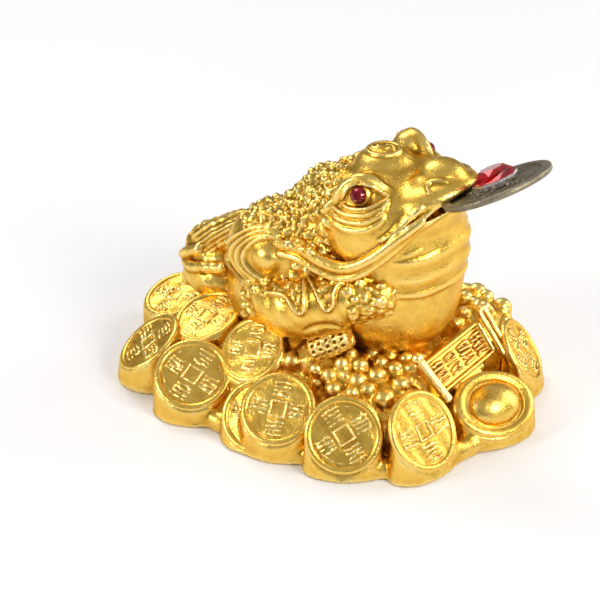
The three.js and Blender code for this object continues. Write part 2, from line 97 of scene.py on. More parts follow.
def distance_to_path(points, path):
    """The distance from each point to the nearest straight stretch, and the share of the path there."""
    nearest, along = np.full(len(points), 1e9), np.zeros(len(points))
    for number, (start, end) in enumerate(zip(path[:-1], path[1:])):
        run = end - start
        share = np.clip((points - start) @ run / max(run @ run, 1e-9), 0, 1)
        away = points - start - share[:, None] * run
        away = np.einsum("ij,ij->i", away, away)
        closer = away < nearest
        nearest[closer] = away[closer]
        along[closer] = (number + share[closer]) / (len(path) - 1)
    return np.sqrt(nearest), along


# The photograph's viewpoint, from which the near side's lines are drawn

# In degrees, millimetres and pixels of an image of this size
VIEW_BEARING, VIEW_RISE = 34, 31
VIEW_AWAY = 450
VIEW_FOCAL = 2142.86
VIEW_SIZE = 600
ORIGIN_SEEN_AT = (333, 378)


def view_axes():
    """Rows right, up and back of the view."""
    turn, lift = math.radians(VIEW_BEARING), math.radians(VIEW_RISE)
    back = np.array([math.sin(turn) * math.cos(lift), -math.cos(turn) * math.cos(lift), math.sin(lift)])
    right = np.array([math.cos(turn), math.sin(turn), 0])
    return np.array([right, np.cross(back, right), back])


def seen_at(points):
    """Where points in drawn millimetres fall in the image, in pixels across and down."""
    right, up, back = view_axes()
    share = VIEW_FOCAL / (VIEW_AWAY - points @ back)
    across = ORIGIN_SEEN_AT[0] + share * (points @ right)
    down = ORIGIN_SEEN_AT[1] - share * (points @ up)
    return np.stack([across, down], 1)


# Skins and meshes

def corner_normals(points, quads):
    """The mean of the faces' normals round each point, each weighted by its face's area."""
    first, second = (points[quads[:, k + 2]] - points[quads[:, k]] for k in range(2))
    out = np.cross(first, second)
    total = [np.bincount(quads.ravel(), np.repeat(out[:, axis], 4), len(points)) for axis in range(3)]
    return unit(np.stack(total, 1))


def neighbour_mean(values, quads):
    """The mean of the values at the ends of the edges round each point."""
    starts, ends = quads.ravel(), np.roll(quads, -1, 1).ravel()
    pairs = np.concatenate([starts, ends]), np.concatenate([ends, starts])
    count = np.maximum(np.bincount(pairs[0], minlength=len(values)), 1)
    columns = values.reshape(len(values), -1).T
    mean = [np.bincount(pairs[0], column[pairs[1]], len(values)) / count for column in columns]
    return np.stack(mean, 1).reshape(values.shape)


# The reach in millimetres, the most that a hollow counts, and how often it is smoothed
HOLLOW_REACH = 0.45
HOLLOW_MOST = 3
HOLLOW_PASSES = 3


def hollowness(points, quads):
    """How sunken the skin is at each point: its curvature times a reach, smoothed over neighbours."""
    normal = corner_normals(points, quads)
    pull = neighbour_mean(points, quads) - points
    edge = np.linalg.norm(points[quads] - points[np.roll(quads, -1, 1)], axis=2).mean(1)
    size = np.bincount(quads.ravel(), np.repeat(edge, 4), len(points))
    size = np.maximum(size / np.maximum(np.bincount(quads.ravel(), minlength=len(points)), 1), 0.05)
    bend = 4 * np.einsum("ij,ij->i", pull, normal) / size ** 2 * HOLLOW_REACH
    bend = np.clip(bend, -HOLLOW_MOST, HOLLOW_MOST)
    for _ in range(HOLLOW_PASSES):
        bend = 0.4 * bend + 0.6 * neighbour_mean(bend, quads)
    return bend


def make_piece(name, points, quads, material, node, slot):
    """A named mesh from points in drawn millimetres, riding on the root and standing for a node."""
    triangle = quads[:, 2] == quads[:, 3]
    faces = quads[~triangle].tolist() + quads[triangle, :3].tolist()
    mesh = bpy.data.meshes.new(name)
    mesh.from_pydata((points * MM).tolist(), [], faces)
    mesh.polygons.foreach_set("use_smooth", np.ones(len(faces), bool))
    # The hollowness kept here paints shade into the gold's hollows, and patina into the brass's hollows
    hollow = mesh.attributes.new("hollow", "FLOAT", "POINT")
    hollow.data.foreach_set("value", hollowness(points, quads).astype(np.float32))
    mesh.materials.append(material)
    piece = bpy.data.objects.new(name, mesh)
    bpy.context.scene.collection.objects.link(piece)
    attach(piece, "root")
    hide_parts(node)
    return piece


def rings_to_quads(rings, sides, closed=False):
    """Quads over rings of equally many points, with a fan to a further point at each end, or, where
    closed, from the last ring back to the first."""
    ring = np.arange(rings - 1 + closed)[:, None] * sides
    side = np.arange(sides)[None, :]
    beside = (side + 1) % sides
    above = ((np.arange(rings - 1 + closed) + 1) % rings)[:, None] * sides
    body = np.stack([ring + side, ring + beside, above + beside, above + side], -1).reshape(-1, 4)
    if closed:
        return body
    first, last = rings * sides, rings * sides + 1
    side, beside, top = side[0], beside[0], (rings - 1) * sides
    low = np.stack([np.full(sides, first), beside, side, side], -1)
    high = np.stack([np.full(sides, last), top + side, top + beside, top + beside], -1)
    return np.concatenate([body, low, high])


def together(shells):
    """Several shells of points and quads as one."""
    starts = np.cumsum([0] + [len(points) for points, _ in shells[:-1]])
    points = np.concatenate([points for points, _ in shells])
    return points, np.concatenate([quads + start for (_, quads), start in zip(shells, starts)])


def loft(rings, first_tip, last_tip):
    """A closed skin over rings of points, from one tip to the other."""
    rings = np.asarray(rings)
    points = np.concatenate([rings.reshape(-1, 3), [first_tip], [last_tip]])
    return points, rings_to_quads(rings.shape[0], rings.shape[1])


# Clay: a grid of distances to the surface, negative inside

EMPTY = 9.0


class Clay:
    """A block of distances, to which forms are joined or from which they are cut with soft seams."""

    def __init__(self, low, high, cell):
        """An empty block of cells between two corners."""
        self.low, self.cell = np.array(low, float), cell
        counts = np.ceil((np.array(high) - self.low) / cell).astype(int) + 1
        self.lines = [self.low[axis] + cell * np.arange(counts[axis]) for axis in range(3)]
        self.depth = np.full(counts, EMPTY, np.float32)

    def window(self, low, high, margin):
        """The stretch of grid lines, along each axis, that a form and its seam can reach."""
        first = [np.searchsorted(self.lines[axis], low[axis] - margin) for axis in range(3)]
        last = [np.searchsorted(self.lines[axis], high[axis] + margin) for axis in range(3)]
        return tuple(slice(a, b) for a, b in zip(first, last))

    def blend(self, form, low, high, seam, cut=False):
        """The nearer of two distances, less a rounding where they differ by under the seam."""
        window = self.window(low, high, seam + 2 * self.cell)
        x, y, z = np.ix_(*(line[part].astype(np.float32) for line, part in zip(self.lines, window)))
        there = self.depth[window]
        if there.size == 0:
            return
        sign = -1 if cut else 1
        old, new = sign * there, form(x, y, z)
        near = np.clip(seam - np.abs(old - new), 0, None)
        self.depth[window] = sign * (np.minimum(old, new) - near * near / (4 * seam))

    def egg(self, centre, radii, pitch=0.0, turn=0.0, seam=1.0, cut=False):
        """An ellipsoid, tipped nose up by the pitch and then turned about the vertical, in degrees."""
        pitch, turn = math.radians(pitch), math.radians(turn)
        nose_up = np.array([[math.cos(pitch), 0, -math.sin(pitch)], [0, 1, 0],
                            [math.sin(pitch), 0, math.cos(pitch)]])
        outwards = np.array([[math.cos(turn), -math.sin(turn), 0], [math.sin(turn), math.cos(turn), 0],
                             [0, 0, 1]])
        axes = (outwards @ nose_up).T
        centre, radii = np.array(centre, float), np.array(radii, float)
        reach = np.sqrt(((axes * radii[:, None]) ** 2).sum(0))

        def form(x, y, z):
            """k - 1 over the steepness of k, where k is the length of the offset over the radii."""
            offset = (x - centre[0], y - centre[1], z - centre[2])
            local = [sum(axes[i, k] * offset[k] for k in range(3)) for i in range(3)]
            scaled = np.sqrt(sum((local[i] / radii[i]) ** 2 for i in range(3)))
            slope = np.sqrt(sum((local[i] / radii[i] ** 2) ** 2 for i in range(3)))
            return scaled * (scaled - 1) / np.maximum(slope, 1e-6)

        self.blend(form, centre - reach, centre + reach, seam, cut)

    def strand(self, path, seam=1.0, stretches=18):
        """A rope along a smooth path through points [x, y, z, radius]."""
        path = smooth_path(path, stretches + 1)
        reach = path[:, 3:]

        def form(x, y, z):
            """The least distance to the rope's straight stretches, less the radius there."""
            nearest = np.inf
            for start, end in zip(path[:-1], path[1:]):
                run = end[:3] - start[:3]
                offset = (x - start[0], y - start[1], z - start[2])
                share = np.clip(sum(run[k] * offset[k] for k in range(3)) / max(run @ run, 1e-9), 0, 1)
                away = np.sqrt(sum((offset[k] - share * run[k]) ** 2 for k in range(3)))
                nearest = np.minimum(nearest, away - (start[3] + share * (end[3] - start[3])))
            return nearest

        self.blend(form, (path[:, :3] - reach).min(0), (path[:, :3] + reach).max(0), seam)

    def drum(self, centre, normal, radii, seam=1.0, flare=0.05, rounding=0.5):
        """A disc's shadow straight down, a wall that widens by the flare as it goes."""
        aside, out, _ = plane_axes(normal)
        downhill = unit(-out * [1, 1, 0]) if normal[2] < 0.999 else np.array([1.0, 0, 0])
        half = (radii[0], radii[1] * normal[2])
        reach = np.abs(aside) * half[0] + np.abs(downhill) * half[1] + flare * centre[2] + rounding

        def form(x, y, z):
            """The greater of the height over the disc's plane and the distance outside the ellipse
            that the disc covers seen from above, plus a rounding where the two are close."""
            offset = (x - centre[0], y - centre[1], z - centre[2])
            above = sum(normal[k] * offset[k] for k in range(3))
            local = [sum(axis[k] * offset[k] for k in range(2)) for axis in (aside, downhill)]
            scaled = np.sqrt(sum((local[i] / half[i]) ** 2 for i in range(2)))
            slope = np.sqrt(sum((local[i] / half[i] ** 2) ** 2 for i in range(2)))
            wide = scaled * (scaled - 1) / np.maximum(slope, 1e-6) + flare * np.minimum(offset[2], 0)
            near = np.clip(rounding - np.abs(above - wide), 0, None)
            return np.maximum(above, wide) + near * near / (4 * rounding)

        low, high = centre - reach, centre + reach
        low[2], high[2] = self.low[2], centre[2] + radii[1] * abs(out[2]) + rounding
        self.blend(form, low, high, seam)

    def skin(self):
        """Surface nets: a point in each cell that the surface crosses, at the mean of its crossings
        of the cell's edges, and a quad round each crossed edge. The block's own walls close the skin."""
        depth = np.pad(self.depth, 1, constant_values=self.cell)
        shape = np.array(depth.shape)
        inside = depth < 0
        cells, crossings, quads = [], [], []
        for axis in range(3):
            low = [slice(0, -1) if k == axis else slice(1, -1) for k in range(3)]
            high = [slice(1, None) if k == axis else slice(1, -1) for k in range(3)]
            cut = inside[tuple(low)] != inside[tuple(high)]
            spots = np.argwhere(cut) + [0 if k == axis else 1 for k in range(3)]
            step = np.eye(3, dtype=int)[axis]
            start, end = depth[tuple(spots.T)], depth[tuple((spots + step).T)]
            crossing = spots + (start / (start - end))[:, None] * step
            one, two = np.eye(3, dtype=int)[(axis + 1) % 3], np.eye(3, dtype=int)[(axis + 2) % 3]
            round_edge = [spots - one - two, spots - two, spots, spots - one]
            numbers = np.stack([np.ravel_multi_index(tuple(cell.T), shape) for cell in round_edge], 1)
            numbers = np.where((start < 0)[:, None], numbers, numbers[:, ::-1])
            quads.append(numbers)
            cells.append(numbers.ravel())
            crossings.append(np.repeat(crossing, 4, 0))
        _, where = np.unique(np.concatenate(cells), return_inverse=True)
        crossings = np.concatenate(crossings)
        count = np.bincount(where)
        points = np.stack([np.bincount(where, crossings[:, axis]) / count for axis in range(3)], 1)
        return self.low + (points - 1) * self.cell, where.reshape(-1, 4)


# Carving: heights along the skin's normals

def ridge(distance, width, height):
    """A rounded ridge, or a groove where the height is negative: a bell curve of the distance."""
    return height * np.exp(-(distance / width) ** 2)


# How quickly drawn lines grow from the edge of what is seen
EDGE_GAIN = 3


def near_side(points, normals, side):
    """The points as seen in the image once the side is turned to the near one, and how far they face
    it, from 0 to 1."""
    turned = np.array([1, -side, 1])
    mirrored = points * turned
    facing = np.clip((normals * turned) @ view_axes()[2] * EDGE_GAIN, 0, 1) * (mirrored[:, 1] <= 0)
    return seen_at(mirrored), facing


def drawn(places, facing, lines):
    """Heights of ridges along lines in the image, each [width in pixels, height, end taper, points]."""
    height = np.zeros(len(places))
    for width, rise, taper, line in lines:
        distance, along = distance_to_path(places, smooth_path(line, 5 * len(line)))
        fade = np.clip(np.minimum(along, 1 - along) / max(taper, 1e-6), 0, 1)
        height += ridge(distance, width, rise) * fade ** 0.5 * facing
    return height


# Points worked out at a time, to spare memory
BATCH = 8000


def dome_heights(points, seeds, sizes, lift=0.8, stretch=0.45):
    """The highest of the domes at each point: each is its size times a parabola of the distance, which
    counts for less along the dome's own random direction."""
    lengthwise = unit(seeded.normal(size=seeds.shape))
    less = seeded.uniform(0, stretch, len(seeds))
    height = np.zeros(len(points))
    for part in np.array_split(np.arange(len(points)), max(len(points) // BATCH, 1)):
        here = points[part]
        away = (here ** 2).sum(1)[:, None] + (seeds ** 2).sum(1) - 2 * here @ seeds.T
        along = here @ lengthwise.T - (seeds * lengthwise).sum(1)
        away = (away - less * along ** 2) / sizes ** 2
        height[part] = (np.clip(1 - away, 0, None) * sizes * lift).max(1)
    return height


def packed(points, sizes, tries, spacing=0.92):
    """Spots for domes, larger ones first, each kept where it clears those before it."""
    seeds, kept = np.zeros((0, 3)), np.zeros(0)
    for size, count in zip(sizes, tries):
        for spot in points[seeded.integers(0, len(points), count)]:
            if (((seeds - spot) ** 2).sum(1) > (spacing * (kept + size)) ** 2).all():
                seeds, kept = np.vstack([seeds, spot]), np.append(kept, size)
    return seeds, kept


def wavering(points, size, height):
    """Low uneven waves: a third of the height times the sum of six sines along random directions,
    about the size in millimetres long."""
    total = np.zeros(len(points))
    for _ in range(6):
        total += np.sin(points @ (seeded.normal(size=3) * 3.6 / size) + seeded.uniform(0, 2 * math.pi))
    return total * height / 3


# Finishes

# From ridges, pale, to deep hollows, brown with painted shade, as [place, colour]
GOLD_AND_SHADE_TONES = [(0.0, (0.97, 0.75, 0.27)), (0.34, (0.87, 0.555, 0.09)), (0.6, (0.58, 0.295, 0.02)),
              (1.0, (0.16, 0.06, 0.003))]
BRASS_TONES = [(0.0, (0.44, 0.385, 0.26)), (0.4, (0.17, 0.14, 0.088)), (0.9, (0.035, 0.028, 0.016))]
# Bright and deep parts of each stone
RUBY = (0.60, 0.005, 0.006), (0.13, 0.001, 0.002)
GARNET = (0.30, 0.002, 0.012), (0.08, 0.0, 0.002)
SILVERED = (0.32, 0.28, 0.26), (0.85, 0.80, 0.78)
PALE = (0.87, 0.86, 0.855), (0.91, 0.90, 0.895)


def principled(name):
    """A material, its node tree and its shader."""
    material = bpy.data.materials.new(name)
    material.use_nodes = True
    tree = material.node_tree
    return material, tree, tree.nodes["Principled BSDF"]


def link(tree, start, end):
    """A link from one socket to another."""
    tree.links.new(start, end)


def noise(tree, scale, detail=3.0, roughness=0.5):
    """Noise on object coordinates, with its scale in bumps per metre."""
    place = tree.nodes.new("ShaderNodeTexCoord")
    pattern = tree.nodes.new("ShaderNodeTexNoise")
    pattern.inputs["Scale"].default_value = scale
    pattern.inputs["Detail"].default_value = detail
    pattern.inputs["Roughness"].default_value = roughness
    link(tree, place.outputs["Object"], pattern.inputs["Vector"])
    return pattern.outputs["Fac"]


def ramp(tree, factor, stops):
    """Colours between stops of [place, colour]."""
    node = tree.nodes.new("ShaderNodeValToRGB")
    while len(node.color_ramp.elements) < len(stops):
        node.color_ramp.elements.new(0.5)
    for element, (spot, colour) in zip(node.color_ramp.elements, stops):
        element.position = spot
        element.color = (*colour, 1)
    link(tree, factor, node.inputs["Fac"])
    return node.outputs["Color"]


def calculate(tree, operation, *values):
    """The result of some arithmetic on numbers and sockets."""
    node = tree.nodes.new("ShaderNodeMath")
    node.operation = operation
    for socket, value in zip(node.inputs, values):
        if isinstance(value, (int, float)):
            socket.default_value = value
        else:
            link(tree, value, socket)
    return node.outputs[0]


def attribute(tree, name):
    """A value that the mesh keeps at each point."""
    node = tree.nodes.new("ShaderNodeAttribute")
    node.attribute_name = name
    return node.outputs["Fac"]


def bump(tree, height, distance, strength):
    """A fine grain, as deep as the distance in metres."""
    node = tree.nodes.new("ShaderNodeBump")
    node.inputs["Strength"].default_value = strength
    node.inputs["Distance"].default_value = distance
    link(tree, height, node.inputs["Height"])
    return node.outputs["Normal"]


def gold_paint():
    """Bright gold paint with painted shade: brown in hollows where shade falls, pale on ridges, with a
    fine grain.
    """
    material, tree, shader = principled("gold_paint")
    # Painted shade: the skin's hollowness turns the gold brown in hollows and paler where the skin
    # bulges
    sunken = calculate(tree, "MULTIPLY_ADD", attribute(tree, "hollow"), 0.5, 0.4)
    mottle = calculate(tree, "MULTIPLY_ADD", noise(tree, 300, 4), 0.36, -0.18)
    tone = calculate(tree, "ADD", sunken, mottle)
    link(tree, ramp(tree, tone, GOLD_AND_SHADE_TONES), shader.inputs["Base Color"])
    shader.inputs["Metallic"].default_value = 1.0
    shader.inputs["Specular Tint"].default_value = (0.96, 0.77, 0.38, 1)
    shader.inputs["Coat Weight"].default_value = 0.35
    shader.inputs["Coat Roughness"].default_value = 0.16
    rough = calculate(tree, "MULTIPLY_ADD", noise(tree, 1100, 3), 0.22, 0.19)
    link(tree, rough, shader.inputs["Roughness"])
    grain = calculate(tree, "MULTIPLY_ADD", noise(tree, 3800, 2), 0.35, noise(tree, 1000, 3))
    link(tree, bump(tree, grain, 0.0003, 0.42), shader.inputs["Normal"])
    return material


def antique_brass():
    """Dull brass, darkened in its hollows and rubbed on its rims."""
    material, tree, shader = principled("antique_brass")
    sunken = calculate(tree, "MULTIPLY_ADD", attribute(tree, "hollow"), 0.35, 0.45)
    mottle = calculate(tree, "MULTIPLY_ADD", noise(tree, 700, 5, 0.65), 0.6, -0.3)
    tone = calculate(tree, "ADD", sunken, mottle)
    link(tree, ramp(tree, tone, BRASS_TONES), shader.inputs["Base Color"])
    shader.inputs["Metallic"].default_value = 0.85
    rough = calculate(tree, "MULTIPLY_ADD", noise(tree, 1500, 3), 0.3, 0.3)
    link(tree, rough, shader.inputs["Roughness"])
    link(tree, bump(tree, noise(tree, 2200, 3), 0.0002, 0.4), shader.inputs["Normal"])
    return material


def red_stone(name, bright, deep):
    """A clear faceted stone: coloured glass over a foiled back."""
    material, tree, shader = principled(name)
    tint = ramp(tree, noise(tree, 420, 1), [(0.35, bright), (0.75, deep)])
    link(tree, tint, shader.inputs["Base Color"])
    shader.inputs["Metallic"].default_value = 0.35
    shader.inputs["Roughness"].default_value = 0.06
    shader.inputs["IOR"].default_value = 1.6
    shader.inputs["Coat Weight"].default_value = 0.25
    shader.inputs["Coat Roughness"].default_value = 0.03
    return material


def clear_stone():
    """The uncoloured girdle of the coin's stone, over silver foil."""
    material, tree, shader = principled("clear_stone")
    tint = ramp(tree, noise(tree, 900, 3, 0.7), [(0.3, SILVERED[0]), (0.6, SILVERED[1])])
    link(tree, tint, shader.inputs["Base Color"])
    shader.inputs["Metallic"].default_value = 0.8
    shader.inputs["Roughness"].default_value = 0.12
    shader.inputs["Coat Weight"].default_value = 1.0
    return material


def plain_floor():
    """A pale matt floor with a barely uneven tone."""
    material, tree, shader = principled("pale_floor")
    tint = ramp(tree, noise(tree, 3, 2), [(0.3, PALE[0]), (0.7, PALE[1])])
    link(tree, tint, shader.inputs["Base Color"])
    shader.inputs["Roughness"].default_value = 0.8
    return material


GOLD = gold_paint()


def gold_piece(name, points, quads):
    """A piece of the painted casting."""
    return make_piece(name, points, quads, GOLD, "toad_figure", "gold_paint")


# The toad's head and throat

EYE = {"centre": np.array([14.4, 12.6, 51.7]), "bearing": 72, "rise": 21}
BROW = [[7.9, 13.2, 46], [8.6, 13.1, 49], [10.9, 12, 52.9], [13.8, 10.6, 54.4], [16.9, 9.4, 53.2],
        [19.2, 8.6, 50.8]]
BROW_RADII = (0.6, 1, 1.2, 1.25, 1.1, 0.7)
# The casting isn't quite even: the left brow sits further back and higher
BROW_SHIFT = {-1: np.array([0.3, 0, -0.2]), 1: np.array([-1.3, -0.2, 0.8])}
# Lips of the left side, from the middle of the snout back, as [x, y, z, radius]
UPPER_LIP = [[30.7, 0, 53.5, 0.6], [29.3, 3.6, 52.7, 0.65], [28.1, 7, 50.7, 0.75],
             [26.3, 10, 47.8, 0.85], [22.8, 12.8, 44.3, 1], [18.7, 15, 40.2, 1.15],
             [14, 16.3, 37.5, 1.25], [9.5, 17.1, 37.7, 1.25], [4, 17.3, 39.2, 1.15],
             [-0.8, 17.5, 38.8, 0.9]]
LOWER_LIP = [[29.8, 0, 50.2, 0.8], [29, 4, 49.6, 0.8], [27.4, 7.5, 48, 0.85], [25.1, 10.2, 45.7, 0.85],
             [22.6, 12.8, 42.3, 0.85], [18.4, 15.2, 37.9, 0.85], [14, 16.7, 35.3, 0.85],
             [9.5, 17.4, 35.5, 0.85], [4, 17.7, 37.1, 0.85], [-0.8, 17.7, 37.0, 0.6]]


def eye_axes(side):
    """Rows forward, up and out of the plane of an eye."""
    out = leaning(EYE["bearing"] * side, 90 - EYE["rise"])
    forward = unit(np.cross([0, 0, side], out)) * -1
    forward = forward * np.sign(forward[0])
    up = np.cross(out, forward)
    return np.array([forward, up * np.sign(up[2]), out])


# Lines of the near side of the head, as [width, height, end taper, points in pixels]
EYE_LINES = [
    (1.5, -0.5, 0.15, [(336, 208), (339, 195), (346, 184), (356, 178.5), (367, 179), (378, 186),
                       (388, 195)]),
    (1.9, 0.75, 0.1, [(342, 201), (345, 190), (351, 184), (360, 182.5), (370, 184), (380, 189.5),
                      (389, 196.5)]),
    (1.5, -0.5, 0.2, [(346, 200), (350, 190), (359, 187), (369, 188), (379, 194), (386, 198)]),
    (1.6, 0.5, 0.1, [(390, 198), (381, 203), (371, 207.5), (360, 209.5), (349, 208), (341, 203)]),
    (1.7, 0.6, 0.1, [(390, 201), (380, 209.5), (368, 215), (355, 216), (342, 213), (333, 206)]),
    (1.9, 0.6, 0.12, [(387, 206), (378, 216.5), (366, 222.5), (354, 223), (341, 220), (331, 212)]),
    (2.5, 0.4, 0.2, [(386, 215), (378, 224), (366, 230), (354, 231), (341, 228), (331, 220)]),
    (2.2, -0.6, 0.2, [(396, 190), (397, 200), (395, 210), (391, 220)])]
JAW_LINES = [
    (4.5, 1.0, 0.2, [(424, 206), (412, 216), (400, 228), (388, 237), (377, 242)]),
    (3.2, -0.7, 0.25, [(391, 214), (389, 224), (383, 233), (374, 238)]),
    (2.6, -0.5, 0.2, [(372, 247), (384, 243), (396, 238), (408, 229)]),
    (1.3, 0.38, 0.2, [(449, 182), (440, 180.5), (432, 181.5), (427.5, 186), (428.5, 191.5),
                      (434, 193.5)]),
    (1.5, -0.8, 0.1, [(432, 186.5), (435, 185.5), (439, 185)]),
    (3.0, -0.8, 0.3, [(404, 182), (413, 174), (421, 166), (426, 160)])]
THROAT_LINES = [
    (5.0, 0.4, 0.25, [(386, 266), (404, 264), (424, 261), (446, 251), (466, 239)]),
    (1.4, -0.55, 0.25, [(384, 274), (404, 273.5), (422, 271), (444, 262), (463, 250), (472, 243)]),
    (5.0, 0.42, 0.25, [(384, 282), (404, 282), (422, 280), (445, 270), (468, 257)]),
    (1.4, -0.55, 0.25, [(384, 290), (404, 290.5), (422, 289), (446, 279), (466, 268), (474, 262)]),
    (4.0, 0.36, 0.25, [(386, 296), (406, 296), (424, 294), (449, 283), (468, 272)]),
    (1.3, -0.48, 0.25, [(388, 301), (410, 300.5), (428, 298), (451, 287), (470, 276)]),
    (1.3, 0.25, 0.3, [(402, 256), (412, 254), (424, 249)]),
    (1.2, -0.25, 0.3, [(392, 262), (408, 259.5), (424, 255), (438, 248)])]
LIP_LINES = [
    (1.3, -0.9, 0.05, [(278, 254), (290, 253), (304, 253.5), (318, 257), (331, 265), (343, 271.5),
                       (356, 274), (369, 269.5), (382, 259), (394, 250), (404, 243), (414, 236),
                       (426, 227), (438, 215)]),
    (1.6, -0.5, 0.1, [(286, 248), (300, 246), (316, 249), (330, 257), (343, 264), (356, 266), (368, 262),
                      (380, 253), (390, 246)])]


SEAL_AT_X = 11.9
SEAL_RADIUS = 3.2
SEAL_FIELD = 2.7
SEAL_DROP = 1.25
SEAL_DOT_OUT = 1.3
CROWN_ABOVE = 50


def head_seal(points, normals):
    """A round seal on the crown: a ring, and in it two drops divided by a double curve of half circles,
    with a dot in each."""
    x, y = points[:, 0] - SEAL_AT_X, points[:, 1]
    out = np.hypot(x, y)
    height = ridge(np.abs(out - SEAL_RADIUS), 0.36, 0.45)
    bow = np.abs(np.hypot(np.abs(x) - SEAL_DROP, y) - SEAL_DROP)
    bow = np.where((x > 0) == (y > 0), bow, FAR_OFF)
    height += ridge(bow, 0.3, 0.4) * (out < SEAL_FIELD)
    height += ridge(np.hypot(np.abs(x) - SEAL_DOT_OUT, y), 0.35, 0.35)
    return height * (normals[:, 2] > 0.6) * (points[:, 2] > CROWN_ABOVE)


# Lines are drawn above the first height, and warts lie above the second on the nape
LINES_ABOVE = 34
NAPE_ABOVE = 39.5


def head_and_throat():
    """The head and throat: ellipsoids joined softly, ropes along the lips and brows, hollowed sockets
    with eyeballs and a thin tilted slot for the mouth, then the seal, the drawn lines and the warts."""
    clay = Clay((-6, -20, 9), (35, 20, 60), 0.3)
    clay.egg((9.5, 0, 45.5), (13, 14.6, 7.4), 12)
    clay.egg((20.8, 0, 48.5), (12.1, 10.8, 4.6), 23.5, seam=2)
    clay.egg((17, 0, 38), (12.6, 13.5, 15), seam=3)
    clay.egg((21, 0, 45.4), (8.8, 10.5, 4.6), 22, seam=2)
    clay.egg((15.4, 0, 27), (12.6, 14, 14), seam=4)
    clay.egg((12.2, 0, 51.7), (6.4, 6.8, 4.8), seam=1.2)
    clay.egg((25.2, 0, 54.2), (4.7, 4.6, 3), seam=1.2)
    for side in SIDES:
        clay.egg((14, 6.8 * side, 42.6), (11.4, 9.2, 8.8), 50, seam=2)
        bulge = np.array((13.2, 9.6 * side, 51.2)) + BROW_SHIFT[side]
        clay.egg(bulge, (3.8, 3.6, 4.1), 0, 10 * side, seam=1)
        clay.egg((24.2, 3.8 * side, 52.2), (3.6, 2.6, 2.5), seam=1)
        for lip in (UPPER_LIP, LOWER_LIP):
            clay.strand(np.array(lip) * [1, side, 1, 1], seam=0.4, stretches=26)
        brow = np.array(BROW) * MIRROR[side] + BROW_SHIFT[side]
        clay.strand(np.column_stack([brow, BROW_RADII]), seam=0.9)
        socket = EYE["centre"] * MIRROR[side]
        clay.egg(socket + eye_axes(side)[2] * 1.6, (3.3, 3.3, 2.6), seam=0.8, cut=True)
        clay.egg(socket - eye_axes(side)[2] * 2.6, (3, 3, 3), seam=0.4)
    clay.egg((30.5, 0, 51.0), (8.4, 10.4, 0.8), 38, seam=0.5, cut=True)
    points, quads = clay.skin()
    normals = corner_normals(points, quads)
    height = head_seal(points, normals)
    for side in SIDES:
        places, facing = near_side(points, normals, side)
        lines = EYE_LINES + JAW_LINES + LIP_LINES
        height += drawn(places, facing * (points[:, 2] > LINES_ABOVE), lines)
        throat = np.clip((normals * MIRROR[side]) @ np.array([0.9, -0.3, 0]) + 0.4, 0, 1)
        height += drawn(places, facing * throat, THROAT_LINES)
    border = 5.2 + 3.4 * np.clip((np.abs(points[:, 1]) - 4) / 8.5, 0, 1)
    nape = (points[:, 0] < border) & (points[:, 2] > NAPE_ABOVE) & (normals[:, 2] > -0.3)
    seeds, sizes = packed(points[nape], WART_SIZES, WART_TRIES)
    height = np.maximum(height, warts(points, seeds, sizes) * (points[:, 0] < border + 1))
    gold_piece("toad_head", points + normals * height[:, None], quads)


# The toad's back, shoulders and hind leg

WART_SIZES = (1.35, 1.05, 0.8, 0.6)
WART_TRIES = (70, 500, 2500, 6000)
# As lines of the head
SHOULDER_LINES = [
    (1.7, 0.8, 0.06, [(284, 234), (272, 229), (260, 227.5), (244, 231.5), (231, 240), (226.5, 251),
                      (230, 265), (240, 276), (250, 284)]),
    (1.7, 0.85, 0.06, [(283, 237), (272, 232.5), (260, 231.5), (247, 235.5), (236, 243), (232, 253),
                       (235, 264), (245, 275), (255, 282)]),
    (1.7, 0.85, 0.06, [(281, 238.5), (271, 235.5), (260, 235.5), (249, 239.5), (240, 247), (237.5, 255),
                       (241, 265), (250, 274), (260, 281)]),
    (1.6, 0.8, 0.06, [(278, 239.5), (270, 238), (260, 239), (251, 243.5), (245, 250), (243.5, 257),
                      (247, 265), (255, 273), (266, 279)]),
    (1.4, -0.5, 0.1, [(275, 240.5), (267, 240.5), (258, 243.5), (252.5, 249), (250, 256), (253, 264),
                      (260, 270)])]
# Parts of the image without warts: an oval round the shoulder, and all to the left of and below a corner
SHOULDER_SEEN_AT, SHOULDER_SEEN = (257, 256), (32, 30)
FLANK_SEEN = (243, 218)


def warts(points, seeds, sizes, lift=0.62):
    """Uneven warts: low domes stretched at random, with a fine waver on them."""
    domes = dome_heights(points, seeds, sizes, lift, 0.7)
    return domes + wavering(points, 0.9, 0.22) * np.clip(domes * 4, 0, 1)


